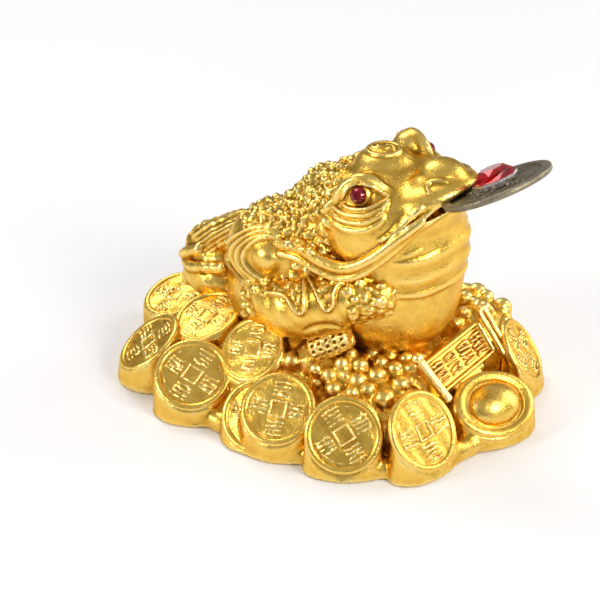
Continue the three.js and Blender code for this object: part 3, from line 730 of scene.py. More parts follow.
def back():
    """The back and shoulders: ellipsoids joined softly, with ridges drawn round each shoulder and warts
    on the rest."""
    clay = Clay((-32, -23, 10), (13, 23, 56), 0.28)
    clay.egg((-3, 0, 26.8), (22.8, 17.4, 12.2), 38)
    clay.egg((3, 0, 36.8), (13.4, 16.6, 10.8), seam=4)
    clay.egg((-17, 0, 22), (8.5, 8, 9), seam=3)
    clay.egg((-13, 0, 29.3), (9, 10, 8.4), seam=2)
    clay.egg((7.5, 0, 42.8), (9, 13.5, 8.7), 30, seam=3)
    for side in SIDES:
        clay.egg(np.array([-6.6, 12.4, 34]) * MIRROR[side], (9.6, 6.4, 8.2), seam=1.5)
        clay.egg(np.array([-4.1, 16.9, 35]) * MIRROR[side], (3.3, 2.7, 3.1), seam=0.6)
    points, quads = clay.skin()
    normals = corner_normals(points, quads)
    warty = (normals[:, 2] > -0.4) & (points[:, 0] < 11) & (points[:, 2] > 14)
    height = np.zeros(len(points))
    for side in SIDES:
        places, facing = near_side(points, normals, side)
        across, down = ((places - SHOULDER_SEEN_AT) / SHOULDER_SEEN).T
        flank = (places[:, 0] < FLANK_SEEN[0]) & (places[:, 1] > FLANK_SEEN[1])
        warty &= ~((np.hypot(across, down) < 1) | flank) | (facing <= 0)
        height += drawn(places, facing, SHOULDER_LINES)
    seeds, sizes = packed(points[warty], WART_SIZES, WART_TRIES)
    height = np.maximum(height, warts(points, seeds, sizes))
    gold_piece("toad_back", points + normals * height[:, None], quads)


def tube(path, radii, sides=14, count=40):
    """A round skin carried along a smooth path, its rings square to the path."""
    line = smooth_path(np.column_stack([path, radii]), count)
    centre, radius = line[:, :3], line[:, 3:]
    tangent = unit(np.gradient(centre, axis=0))
    level = np.array([0, 0, 1.0]) if abs(tangent[:, 2]).mean() < 0.8 else np.array([0, 1.0, 0])
    first = unit(np.cross(tangent, level))
    second = np.cross(tangent, first)
    angle = np.linspace(0, 2 * math.pi, sides, endpoint=False)
    ring = np.cos(angle)[:, None] * first[:, None] + np.sin(angle)[:, None] * second[:, None]
    rings = centre[:, None] + ring * radius[:, None]
    ends = centre[0] - tangent[0] * radius[0] * 0.6, centre[-1] + tangent[-1] * radius[-1] * 0.6
    return loft(rings, *ends)


# Upper and lower edge of the folds along the leg, in pixels
LEG_EDGES = np.array([[(264, 203), (246, 207), (226, 214), (206, 222), (189, 234)],
                      [(250, 228), (242, 231), (232, 237), (220, 245), (206, 254)]], float)
LEG_FOLDS = 7
TOES = (-4.6, -2.8, -0.9, 0.9, 2.8, 4.6)
INGOT_RIM = [[-36, 0, 20, 0.9], [-35, 3.6, 19.6, 1.1], [-32.4, 6, 19.8, 1.25], [-27.8, 7.2, 21.2, 1.25],
             [-22.8, 7.6, 22.8, 1]]


def hind_leg():
    """The hind leg at the rear: a thick rope with a short one for each toe, on a small boat ingot of
    ellipsoids with a rope for its rim, and folds drawn evenly between the leg's two edges."""
    clay = Clay((-44, -10, 9), (-8, 10, 40), 0.27)
    clay.strand([[-12, 0, 31.4, 4.6], [-20, 0, 28.4, 4.9], [-28, 0, 25, 4.3], [-33.5, 0, 22, 3.6]])
    for y in TOES:
        toe = [[-31, y, 23.4, 1.3], [-34, y, 22, 1.25], [-35.5, y * 0.9, 20.8, 1.1]]
        clay.strand(toe, seam=0.5, stretches=4)
    clay.egg((-29, 0, 21.4), (6.5, 6, 3), 14, seam=1)
    for side in SIDES:
        clay.egg((-28.6, 3.2 * side, 17.2), (6.6, 4.6, 4.4), seam=0.6)
        clay.strand(np.array(INGOT_RIM) * [1, side, 1, 1], seam=0.4)
        clay.egg((-35, 2.6 * side, 15.4), (1.8, 1.8, 2.6), seam=0.4)
    points, quads = clay.skin()
    normals = corner_normals(points, quads)
    height = wavering(points, 3, 0.1)
    for side in SIDES:
        places, facing = near_side(points, normals, side)
        for share in np.linspace(0, 1, LEG_FOLDS):
            line = LEG_EDGES[0] * (1 - share) + LEG_EDGES[1] * share
            height += drawn(places, facing, [(1.4, 0.6 + 0.3 * math.cos(9 * share), 0.15, line)])
    gold_piece("hind_leg", points + normals * height[:, None], quads)


# The forelegs, warty above and smooth below

# In pixels: the flame-like edge of the warty skin, and the line under which the skin is smooth
FLAME_LINE = [(262, 291), (273, 294), (284, 296), (291, 303), (297, 311), (302, 313), (305, 308),
              (305, 298), (305, 286), (306, 274), (311, 283), (318, 296), (323, 307), (328, 310),
              (333, 305), (334, 294), (338, 286), (345, 283)]
SMOOTH_BELOW = [(250, 292), (275, 297), (298, 312), (306, 276), (325, 306), (336, 292), (344, 300),
                (352, 324), (392, 332)]
# The left foreleg, as [x, y, z, radius]
ARM = [[-8, 12, 29, 4.8], [-0.5, 17, 25.4, 5.6], [6, 17.2, 27.4, 5.5], [12.5, 15.4, 30, 5],
       [18.6, 12.2, 31, 4.2]]
PALM = [[0.5, 17.6, 22.2, 2.6], [6.8, 18, 23.4, 2.4], [12.5, 16.4, 25.6, 2.4]]
ARM_LINES = [(2.2, -0.4, 0.2, [(303, 331), (316, 326), (330, 325), (343, 327)])]
ARM_WART_SIZES = (1.5, 1.15, 0.85, 0.6)
ARM_WART_TRIES = (60, 350, 1500, 2500)
ARM_WARTS_FROM = -9


def foreleg(side):
    """A foreleg: a rope for the arm and one for the palm, warty above the drawn edge, and smooth but
    for slow waves below it."""
    low, high = np.array([-15, 6, 15]), np.array([26, 26, 40])
    if side < 0:
        low[1], high[1] = -26, -6
    clay = Clay(low, high, 0.27)
    clay.strand(np.array(ARM) * [1, side, 1, 1])
    clay.strand(np.array(PALM) * [1, side, 1, 1], seam=2.5)
    points, quads = clay.skin()
    normals = corner_normals(points, quads)
    places, facing = near_side(points, normals, side)
    limit = np.interp(places[:, 0], *np.transpose(SMOOTH_BELOW))
    top = (places[:, 1] < limit - 2) | (normals[:, 2] > 0.75)
    top &= points[:, 0] > ARM_WARTS_FROM
    seeds, sizes = packed(points[top], ARM_WART_SIZES, ARM_WART_TRIES)
    scales = warts(points, seeds, sizes, 0.42) * (places[:, 1] < limit + 1)
    height = np.maximum(scales, drawn(places, facing, [(1.8, 1.0, 0.04, FLAME_LINE)]))
    height += drawn(places, facing, ARM_LINES) + wavering(points, 4, 0.1)
    gold_piece(f"foreleg_{'left' if side > 0 else 'right'}", points + normals * height[:, None], quads)


# Pressed coins

COIN_RADIUS = 7.7
COIN_RIM = 1.65
COIN_RELIEF = 0.7
COIN_SQUARE = 1.9
COIN_SQUARE_WALL = 0.7
RIM_ABOVE_WALL = 0.4
# As [x, y, bearing, tilt, size, height of the lowest rim, spin]
EDGE_COINS = [
    (-41.2, -0.4, -115, 20, 0.96, 5.5, 20), (-32.8, -20.6, -135, 35, 1, 4, 0),
    (-16.3, -26.9, -60, 37, 1.03, 4.2, -30), (1.9, -30, -80, 53, 1, 0.8, 0),
    (6.1, -28.7, -76, 43, 1.0, 4.2, 2), (21.6, -28.3, -58, 58, 1.01, 1.9, 33),
    (33.9, -18.4, -11, 55, 1.07, 1.9, 0), (34.2, 20, 22, 55, 0.96, 2.4, 10),
    (21.4, 28.2, 58, 55, 1, 2.8, 30), (5, 29.4, 84, 48, 1, 3.4, 0), (-12, 28, 106, 42, 1, 2.4, 15),
    (-27.4, 21.6, 132, 38, 1, 3.6, 40), (-37.4, 11, 160, 30, 1, 2.8, 5)]
# The same with the height of the middle, for coins that stand on the heap
UPPER_COINS = [(-23.4, -12.5, -109, 23, 0.97, 13.8, 10), (-7.2, -18.7, -95, 42, 0.96, 13.9, 15),
               (-16.5, 17, 110, 32, 0.97, 13.4, 30)]


def coin_places():
    """The name, middle, normal, radius and spin of each pressed coin."""
    places = []
    for kind, coins_there in (("edge", EDGE_COINS), ("upper", UPPER_COINS)):
        for number, (x, y, bearing, tilt, size, z, spin) in enumerate(coins_there):
            radius = COIN_RADIUS * size
            rise = radius * math.sin(math.radians(tilt)) if kind == "edge" else 0
            middle = np.array([x, y, z + rise])
            places.append((f"{kind}_coin_{number + 1}", middle, leaning(bearing, tilt), radius, spin))
    return places


def on_plane(centre, axes, across, along, height):
    """Points at grids of distances from a centre along three axes."""
    return centre + np.stack([across, along, height], -1) @ axes


def stroke_distance(across, along, strokes):
    """The distance to the nearest stroke, as a share of that stroke's half width."""
    nearest = np.full(across.shape, FAR_OFF)
    for x0, y0, x1, y1, half in strokes:
        run = (x1 - x0, y1 - y0)
        squared = run[0] ** 2 + run[1] ** 2
        share = np.clip(((across - x0) * run[0] + (along - y0) * run[1]) / squared, 0, 1)
        away = np.hypot(across - x0 - share * run[0], along - y0 - share * run[1])
        nearest = np.minimum(nearest, away / half)
    return nearest


def stroke_block(x, y, width, height, rows, half):
    """Rows of short strokes, each a little tilted and some cut in two at a random place."""
    strokes = []
    for row in range(rows):
        level = y + height * ((row + 0.5) / rows - 0.5)
        cut = seeded.uniform(0.3, 0.7) if seeded.random() < 0.55 else 1.0
        for start, end in ((0.0, cut), (cut, 1.0)):
            if end - start > 0.15:
                tilt = seeded.uniform(-0.05, 0.05) * height
                left, right = x + width * (start - 0.42), x + width * (end - 0.58)
                thickness = half * seeded.uniform(0.7, 1.5)
                strokes.append((left, level - tilt, right, level + tilt, thickness))
    return strokes


# As shares of the coin's radius: how far out a block's middle lies, and its side
BLOCK_OUT, BLOCK_SIZE = 0.53, 0.45
BLOCK_ROWS = 4
STROKE_HALF = 0.31


def coin_strokes(radius):
    """Four blocks of strokes round the square hole."""
    reach, size = BLOCK_OUT * radius, BLOCK_SIZE * radius
    blocks = [(0, reach), (0, -reach), (reach, 0), (-reach, 0)]
    return [s for x, y in blocks for s in stroke_block(x, y, size, size, BLOCK_ROWS, STROKE_HALF)]


def worn(across, along):
    """A slow waver from 0, rubbed away, to 1, crisp: a half, plus a product of two sines, plus a third
    sine, all with random phases."""
    phase = seeded.uniform(0, 2 * math.pi, 4)
    wave = np.sin(across * 0.9 + phase[0]) * np.sin(along * 0.8 + phase[1])
    return 0.5 + 0.3 * wave + 0.2 * np.sin(across * 1.9 + along * 1.3 + phase[2])


def coin_face(across, along, radius, strokes):
    """Heights of a coin's face: a sunk uneven field, a half-round rim with a faint ring inside it, a
    square ring and worn strokes."""
    rim, relief = COIN_RIM, COIN_RELIEF
    out = np.hypot(across, along)
    share = np.clip((out - (radius - rim / 2)) / (rim / 2), -1, 1)
    arch = np.sqrt(np.clip(1 - share ** 2, 0, 1))
    height = np.where(share > 0, (arch - 1) * rim / 2, relief * (arch - 1))
    wear = worn(across, along)
    square_out = np.maximum(np.abs(across), np.abs(along))
    half_wall = COIN_SQUARE_WALL / 2
    square = np.clip(1.35 - np.abs(square_out - (COIN_SQUARE - half_wall)) / half_wall, 0, 1)
    mark = np.clip(1.5 - stroke_distance(across, along, strokes), 0, 1) * (0.65 + 0.35 * wear)
    ring = ridge(np.abs(out - (radius - rim - 0.55)), 0.2, 0.16 + 0.16 * wear)
    flat = np.stack([across, along, 0 * out], -1).reshape(-1, 3)
    pitted = wavering(flat, 1.1, 0.1).reshape(out.shape)
    field = relief * np.maximum(0.9 * square, 0.85 * mark) + pitted * (out < radius - rim)
    return height + field * (share <= -1) + ring


COIN_SIDES = 132
# Steps down the wall, in millimetres
WALL_STEPS = (0.7, 1.6)


def coins():
    """Each coin's face as rings out from its middle, closer together on the rim, then down its wall,
    all raised along its normal by the height of the face there."""
    shares = np.concatenate([np.linspace(0.02, 0.8, 40), np.linspace(0.815, 1, 14)])
    angle = np.linspace(0, 2 * math.pi, COIN_SIDES, endpoint=False)
    for name, centre, normal, radius, spin in coin_places():
        across, along = (shares[:, None] * radius * turn(angle) for turn in (np.cos, np.sin))
        height = coin_face(across, along, radius, coin_strokes(radius))
        axes = plane_axes(normal, spin)
        face = on_plane(centre, axes, across, along, height)
        inwards = (face[-1] - centre) * -0.06
        wall = face[-1] + np.array(WALL_STEPS)[:, None, None] * (inwards - normal)
        rings = np.concatenate([wall[::-1], face[::-1]])
        gold_piece(name, *loft(rings, rings[0].mean(0), face[0].mean(0)))


# The heap, beads, ingots, scroll and roll

# The profile from the foot up, as (distance out, height), and how much longer the heap is than wide
HEAP = [(30.8, 0), (29.6, 2.4), (22.4, 8.8), (14, 15.4), (0, 21)]
HEAP_STRETCH = 1.24
# Height and radius of the clay that fills the gaps between the walls of the outer coins
FOOT_RING = (1.2, 2.2)
# Smaller heaps on it, each the upper half of an ellipsoid, as its middle and its radii
NEAR_HEAP = (18, -13, 7), (13, 10, 6.5)
FAR_HEAP = (20.6, 19.4, 9), (11.2, 8, 7.6)
BELLY_HEAP = (19, -3, 10.6), (10.5, 10, 5)
ARM_HEAPS = ((8.5, -13, 12.5), (9, 5.5, 5)), ((8.5, 13, 12.5), (9, 5.5, 5))
SCROLL_HEAP = (26, 2.6, 9), (6, 11, 6)
HEAPS = (NEAR_HEAP, FAR_HEAP, SCROLL_HEAP, BELLY_HEAP, *ARM_HEAPS)
# Beads as the image shows them: pixels across and down to the middle, and the radius in pixels
BEADS_SEEN = [
    (330, 376, 9), (358, 381, 10), (377, 376, 9.5), (334, 389, 9), (384, 399, 10.5), (401, 384.5, 9.5),
    (360, 365, 8), (381, 363, 8), (373, 353, 7), (293, 361, 10), (342, 364, 7.5), (395, 369, 8),
    (351, 354, 6.5), (406, 359, 7), (346, 376, 7), (368, 390, 7.5), (352, 393, 7), (411, 369, 7.5),
    (316, 369, 7), (390, 354, 6.5), (318, 383, 7), (222, 282, 6.5), (477, 288, 10), (465, 299, 8.5),
    (502, 304, 9.5), (468, 265, 7), (486, 295, 8), (466, 281, 8), (484, 308, 7), (463, 313, 6.5),
    (456, 324, 6), (474, 304, 7)]
BEAD_SIZES = (2, 1.6, 1.2)
# No bead lies where the heap is lower than this
BEADS_ABOVE = 6
# The stretch along each sight line that is searched for the heap
BEADS_AWAY = (380, 480)
BEAD_SWELL = 1.03
# How far a bead's middle stands over the heap, as a share of its radius
BEAD_RAISED = 0.2
DISH_NORMAL = leaning(-25, 38)
DISH_RADII = (9.1, 7.2)
DISH_CENTRE = np.array([39, -0.1, 7.3])
DISH_PAN = 1.6
DOME_DOWN, DOME_RADII = 1.0, np.array([5.8, 4.6, 3.5])
SCROLL_CENTRE = np.array([29.4, 2.6, 13.6])
SCROLL_NORMAL = leaning(0, 52)
SCROLL_HALF = (10.6, 3.9)
# How far the heap stays below a coin's rim or the scroll's border, along their normals
PLATE_DEPTH = 1.5
# The clay walls are this share of what they carry
WALL_SHARE = 0.985
# From the middle out, as [share of the radius, height]: a sunk pan, a broad rim with a fine inner ridge
DISH_PROFILE = [(0.02, -DISH_PAN), (0.6, -DISH_PAN), (0.655, -1.2), (0.685, -0.2), (0.705, 0.12),
                (0.73, 0.05), (0.76, 0.12), (0.85, 0.28), (0.93, 0.12), (0.98, -0.3), (1.0, -0.8),
                (0.96, -2.2)]


def eggs_top(x, y, eggs):
    """The height of the highest of some upright ellipsoids at each place."""
    tops = []
    for (cx, cy, cz), (rx, ry, rz) in eggs:
        share = 1 - ((x - cx) / rx) ** 2 - ((y - cy) / ry) ** 2
        tops.append(np.where(share > 0, cz + rz * np.sqrt(np.clip(share, 0, 1)), 0))
    return np.maximum.reduce(tops)


def under_plates(x, y):
    """The height that stays under every coin's face and the scroll's, or a great one where none lies
    above. A plane's height is its middle's, less the way out times its slope."""
    limit = np.full(np.broadcast(x, y).shape, FAR_OFF)
    plates = [(centre, normal, radius, radius, 0) for _, centre, normal, radius, _ in coin_places()]
    plates.append((SCROLL_CENTRE, SCROLL_NORMAL, SCROLL_HALF[1], SCROLL_HALF[0], 1))
    for centre, normal, half_up, half_along, square in plates:
        east, north = x - centre[0], y - centre[1]
        rise = -(east * normal[0] + north * normal[1]) / normal[2]
        if square:
            over = np.maximum(np.hypot(east, rise) / half_up, np.abs(north) / half_along)
        else:
            over = np.sqrt(east ** 2 + north ** 2 + rise ** 2) / half_up
        level = centre[2] + rise - PLATE_DEPTH / normal[2]
        limit = np.where(over < 1, np.minimum(limit, level), limit)
    return limit


def heap_top(x, y):
    """The height of the heap: its profile at the distance out, or a smaller heap on it if that is
    higher, kept under the plates."""
    out = np.hypot(x / HEAP_STRETCH, y)
    radii, heights = np.transpose(HEAP[::-1])
    top = np.maximum(np.interp(out, radii, heights), eggs_top(x, y, HEAPS))
    return np.minimum(top, under_plates(x, y))


def bead_places():
    """Beads where the image shows them, on the heap under their pixels, and more round the far side."""
    right, up, back = view_axes()
    places = []
    depth = np.linspace(*BEADS_AWAY, 2001)[:, None]
    for across, down, size in BEADS_SEEN:
        aside, below = across - ORIGIN_SEEN_AT[0], down - ORIGIN_SEEN_AT[1]
        ray = unit(right * aside - up * below - back * VIEW_FOCAL)
        spots = back * VIEW_AWAY + ray * depth
        radius = size * VIEW_AWAY / VIEW_FOCAL * BEAD_SWELL
        heap = heap_top(spots[:, 0], spots[:, 1])
        raised = heap + BEAD_RAISED * radius
        above = np.where(heap > BEADS_ABOVE, spots[:, 2] - raised, FAR_OFF)
        met = np.argmax(above < 0) if (above < 0).any() else np.argmin(above)
        places.append((np.append(spots[met, :2], raised[met]), radius))
    bearing, out = np.meshgrid(np.radians(np.arange(52, 170, 1.3)), np.arange(14, 25, 0.35))
    x, y = (out * np.cos(bearing) * HEAP_STRETCH).ravel(), (out * np.sin(bearing)).ravel()
    seeds, sizes = packed(np.stack([x, y, heap_top(x, y) + 0.4], -1), BEAD_SIZES, (60, 250, 500), 1.02)
    clear = under_plates(seeds[:, 0], seeds[:, 1]) == FAR_OFF
    return places + list(zip(seeds[clear], sizes[clear]))


# In cells of the clay: the band of points kept round the flat underside, and the side of a block in it
UNDERSIDE_BAND = 4
UNDERSIDE_BLOCK = 4


def thinned_underside(points, quads, clay):
    """Fewer faces on the flat underside: inside the band, each whole square block of points becomes
    the one point in its middle, and faces left with fewer than three corners go."""
    inner = points[:, 2] < 1e-6
    for _ in range(UNDERSIDE_BAND):
        inner[quads[~inner[quads].all(1)]] = False
    column, row = (((points[:, :2] - clay.low[:2]) / clay.cell).astype(int) // UNDERSIDE_BLOCK).T
    block = np.where(inner, column * len(clay.lines[1]) + row, -1)
    _, where, count = np.unique(block, return_inverse=True, return_counts=True)
    members = np.flatnonzero(inner & (count[where] == UNDERSIDE_BLOCK ** 2))
    _, first, group = np.unique(block[members], return_index=True, return_inverse=True)
    sums = [np.bincount(group, points[members, axis]) for axis in range(3)]
    points[members[first]] = np.stack(sums, 1) / UNDERSIDE_BLOCK ** 2
    kept = np.arange(len(points))
    kept[members] = members[first][group]
    quads = kept[quads]
    pair = quads == np.roll(quads, -1, 1)
    quads, pair = quads[pair.sum(1) < 2], pair[pair.sum(1) < 2]
    turn = np.where(pair.any(1), pair.argmax(1) - 2, 0)[:, None]
    quads = np.take_along_axis(quads, (np.arange(4) + turn) % 4, 1)
    used, quads = np.unique(quads, return_inverse=True)
    return points[used], quads.reshape(-1, 4)


def bed():
    """The heap joined softly with a drum under each coin and the dish, a rope round its foot and the
    beads, cut flat at the bottom, with small grains where the heap itself shows."""
    clay = Clay((-51, -38, -0.8), (49, 38, 24), 0.4)
    out = np.array([HEAP[0][0] * HEAP_STRETCH, HEAP[0][0], 0])

    def mound(x, y, z):
        """The height over the heap, taken as less because the heap slopes."""
        return (z - heap_top(x, y)) * 0.75

    for name, centre, normal, radius, _ in coin_places():
        seam = 0.9 if name.startswith("edge") else 0.35
        clay.drum(centre - RIM_ABOVE_WALL * normal, normal, (radius * WALL_SHARE,) * 2, seam)
    wall = np.array(DISH_RADII) * WALL_SHARE
    clay.drum(DISH_CENTRE - RIM_ABOVE_WALL * DISH_NORMAL, DISH_NORMAL, wall, 0.9)
    ring = [(x, y) for x, y, *_ in EDGE_COINS] + [tuple(DISH_CENTRE[:2])]
    ring = sorted(ring, key=lambda spot: math.atan2(*spot))
    clay.strand([[x, y, *FOOT_RING] for x, y in ring + ring[:2]], seam=0.8, stretches=64)
    clay.blend(mound, -out, out + [0, 0, HEAP[-1][1]], 1)
    grains = bead_places()
    for spot, radius in grains:
        clay.egg(spot - [0, 0, 0.1 * radius], np.full(3, radius * 0.93), seam=1.2)
    clay.depth = np.maximum(clay.depth, -clay.lines[2].astype(np.float32))
    points, quads = clay.skin()
    normals = corner_normals(points, quads)
    loose = (np.abs(points[:, 2] - heap_top(points[:, 0], points[:, 1])) < 0.5) & (points[:, 2] > 6)
    seeds, sizes = packed(points[loose], (1.2, 0.8), (80, 500), 0.95)
    height = dome_heights(points, seeds, sizes, 0.3) * (points[:, 2] > 5)
    height += wavering(points, 5, 0.12) * (points[:, 2] > 0.3)
    gold_piece("bed", *thinned_underside(points + normals * height[:, None], quads, clay))
    gold_piece("beads", *together([egg_skin(spot, np.full(3, radius), sides=24, rings=13)
                                   for spot, radius in grains]))


def egg_skin(centre, radii, axes=np.eye(3), sides=28, rings=16):
    """An ellipsoid: sines and cosines of its two angles, times its radii, turned to its axes."""
    polar = np.linspace(0, math.pi, rings + 2)[1:-1, None]
    angle = np.linspace(0, 2 * math.pi, sides, endpoint=False)[None]
    local = np.stack([np.sin(polar) * np.cos(angle), np.sin(polar) * np.sin(angle),
                      -np.cos(polar) + 0 * angle], -1) * radii
    tip = np.array([0, 0, radii[2]]) @ axes
    return loft(centre + local @ axes, centre - tip, centre + tip)


def dish():
    """An oval profile turned round the dish's normal, with a dome in the pan."""
    profile = smooth_path(DISH_PROFILE, 60)
    angle = np.linspace(0, 2 * math.pi, 120, endpoint=False)
    axes = plane_axes(DISH_NORMAL)
    oval = np.stack([DISH_RADII[0] * np.cos(angle), DISH_RADII[1] * np.sin(angle)], -1) @ axes[:2]
    rings = DISH_CENTRE + profile[:, :1, None] * oval + profile[:, 1:, None] * DISH_NORMAL
    pan = DISH_CENTRE - DISH_PAN * DISH_NORMAL
    gold_piece("dish_ingot", *loft(rings[::-1], rings[-1].mean(0), pan))
    dome = egg_skin(DISH_CENTRE - DOME_DOWN * DISH_NORMAL, DOME_RADII, axes, 60, 36)
    gold_piece("dish_dome", *dome)


def rectangle(sides, half_across, half_along):
    """Points round a rectangle, as many on each of its four sides, corners included."""
    share = np.linspace(-1, 1, sides // 4, endpoint=False)
    one = np.ones_like(share)
    across = np.concatenate([share, one, -share, -one])
    along = np.concatenate([-one, share, one, -share])
    return across * half_across, along * half_along


SCROLL_BORDER = 0.9
SCROLL_SUNK = 0.7
SCROLL_DEPTH = 6.5
# Where along the scroll each block of strokes lies, and a block's length, width, rows and half stroke
SCROLL_BLOCKS = (-7.2, -2.5, 2.4, 7.1)
SCROLL_BLOCK = (3.8, 4.6, 5, 0.24)
# As [name, end of the scroll, skew in degrees, half width of the loop, radius]
SCROLL_RODS = (("scroll_rod_near", -1, 9, 0, 1.0), ("scroll_rod_far", 1, 0, 0.9, 0.6))
ROD_REACH = 5
ROD_BEYOND = 1.1
ROD_RAISED = 0.8


def scroll():
    """A plaque with a raised border and rows of strokes, worked out on rings of a rectangle from its
    middle out, and a rod or a loop of wire at each end."""
    normal = SCROLL_NORMAL
    axes = plane_axes(normal)
    half_long, half_wide = SCROLL_HALF
    strokes = [s for x in SCROLL_BLOCKS for s in stroke_block(x, 0, *SCROLL_BLOCK)]
    edge = rectangle(280, half_long, half_wide)
    shares = np.linspace(0.02, 1, 60)[:, None]
    across, along = shares * edge[0], shares * edge[1]
    inside = np.minimum(half_long - np.abs(across), half_wide - np.abs(along))
    lip = np.clip((SCROLL_BORDER - inside) / 0.3 + 0.5, 0, 1)
    wear = worn(across, along)
    mark = np.clip(1.4 - stroke_distance(across, along, strokes), 0, 1) * (0.7 + 0.3 * wear)
    round_off = 0.45 * np.clip(1 - inside / 0.45, 0, 1) ** 2
    height = SCROLL_SUNK * (lip - 1) + 0.65 * mark - round_off
    face = on_plane(SCROLL_CENTRE, axes, across, along, height)
    wall = face[-1] - normal * np.linspace(0.3, SCROLL_DEPTH, 6)[:, None, None]
    rings = np.concatenate([wall[::-1], face[::-1]])
    gold_piece("scroll", *loft(rings, wall[-1].mean(0), SCROLL_CENTRE - SCROLL_SUNK * normal))
    for name, end, skew, half_width, radius in SCROLL_RODS:
        turned = plane_axes(normal, skew)
        middle = SCROLL_CENTRE + axes[0] * (half_long + ROD_BEYOND) * end + ROD_RAISED * normal
        bar = [(-half_width, -ROD_REACH), (-half_width, 0), (-half_width, ROD_REACH)]
        way_back = [(half_width, ROD_REACH), (half_width, 0), (half_width, -ROD_REACH), bar[0]]
        path = middle + np.array(bar + way_back if half_width else bar) @ turned[:2]
        gold_piece(name, *tube(path, [radius] * len(path), count=90))
        knob = middle + (ROD_REACH + 0.4) * turned[1]
        gold_piece(name + "_knob", *egg_skin(knob, np.full(3, radius + 0.3)))


ROLL_LINE = [(6.4, -17.6, 17.4), (10.4, -16.2, 19.8), (14.4, -14.6, 22.2)]
ROLL_RADIUS = 2.7
PIT_DEPTH = 0.42


def roll():
    """A roll: a circle carried along a line, smaller at its ends, less a pit wherever two waves, one
    round the roll and one along it, are both far from nought, plus a slow waver."""
    path = smooth_path(ROLL_LINE, 90)
    tangent = unit(path[-1] - path[0])
    first = unit(np.cross(tangent, [0, 0, 1]))
    second = np.cross(tangent, first)
    angle = np.linspace(0, 2 * math.pi, 110, endpoint=False)
    share = np.linspace(0, 1, 90)[:, None]
    end = np.sqrt(np.clip(1 - np.abs(2 * share - 1) ** 8, 0.02, 1))
    twist = share * 2 + 0.3 * np.sin(share * 11)
    wave = np.abs(np.cos(angle * 6 + twist) * np.cos(share * 6 * math.pi + 0.4 * np.sin(angle * 2)))
    pits = PIT_DEPTH * np.clip(wave * 1.8 - 0.65, 0, 1) ** 1.2
    radius = ROLL_RADIUS * end - pits + 0.15 * np.sin(angle * 3 + share * 9)
    ring = np.cos(angle)[:, None] * first + np.sin(angle)[:, None] * second
    rings = path[:, None] + ring[None] * radius[..., None]
    gold_piece("pierced_roll", *loft(rings, path[0], path[-1]))


# The loose coin and the stones

COIN_TILT = 27.4
COIN_HALF_THICK = 0.65
COIN_HALF_HOLE = 1.9
COIN_HOLE_RIM = 0.9
COIN_OUTER_RIM = 1.6
BRASS_RELIEF = 0.38
BRASS_STROKE_HALF = 0.36


def mouth_coin():
    """The loose coin: rings from its square hole to its round edge on both faces, joined at the hole
    and at the edge, with raised rims and strokes."""
    box_low, box_high = (np.array(corner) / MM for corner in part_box("mouth_coin"))
    centre, radius = (box_low + box_high) / 2, (box_high[1] - box_low[1]) / 2
    axes = plane_axes(leaning(180, COIN_TILT))
    sides = 160
    square = np.stack(rectangle(sides, COIN_HALF_HOLE, COIN_HALF_HOLE), -1)
    angle = np.arctan2(square[:, 1], square[:, 0])
    circle = radius * np.stack([np.cos(angle), np.sin(angle)], -1)
    shares = np.linspace(0, 1, 46)[:, None, None]
    spots = square + (circle - square) * shares
    strokes = [(*ends, BRASS_STROKE_HALF) for *ends, _ in coin_strokes(radius * 0.95)]
    out = np.linalg.norm(spots, axis=-1)
    square_out = np.abs(spots).max(-1)
    rim = np.clip((out - (radius - COIN_OUTER_RIM)) / 0.3 + 0.5, 0, 1)
    square_rim = np.clip((COIN_HALF_HOLE + COIN_HOLE_RIM - square_out) / 0.3 + 0.5, 0, 1)
    mark = np.clip(1.3 - stroke_distance(spots[..., 0], spots[..., 1], strokes), 0, 1)
    edge = 0.25 * np.clip((out - (radius - 0.4)) / 0.4, 0, 1) ** 2
    raised = np.maximum.reduce([rim, square_rim, 0.8 * mark])
    height = COIN_HALF_THICK - BRASS_RELIEF * (1 - raised) - edge
    top = np.concatenate([spots, height[..., None]], -1)
    bottom = top[::-1] * [1, 1, -1]
    rings = centre + np.concatenate([top, bottom]) @ axes
    points, quads = rings.reshape(-1, 3), rings_to_quads(len(rings), sides, closed=True)
    make_piece("loose_coin", points, quads[:, ::-1], antique_brass(), "mouth_coin", "antique_brass")


# Rings of each stone from its foot up, as [radius, height, half steps turned]
GIRDLE = [(4.2, 0, 0), (4.65, 0.9, 0), (4.55, 1.35, 0)]
CROWN = [(4.5, 1.25, 0), (4.5, 1.45, 0), (3.7, 2.5, 1), (2.45, 3.35, 0)]
EYE_CUT = [(1.6, 0, 0), (1.75, 0.6, 0), (1.4, 1.2, 1), (0.85, 1.68, 0)]
COIN_STONE_SIDES, EYE_STONE_SIDES = 8, 10
# From the middle of each stone's box down to its foot
COIN_STONE_FOOT, EYE_STONE_FOOT = 1.7, 0.85


def faceted(name, rings, axes, centre, sides, material, node, slot):
    """Flat facets between rings of [radius, height, half steps turned]."""
    points = []
    for radius, height, turned in rings:
        angle = 2 * math.pi * (np.arange(sides) + 0.5 * turned) / sides
        local = np.stack([radius * np.cos(angle), radius * np.sin(angle), np.full(sides, height)], -1)
        points.append(centre + local @ axes)
    first = centre + axes[2] * rings[0][1]
    last = centre + axes[2] * rings[-1][1]
    piece = make_piece(name, *loft(points, first, last), material, node, slot)
    piece.data.polygons.foreach_set("use_smooth", np.zeros(len(piece.data.polygons), bool))
    return piece


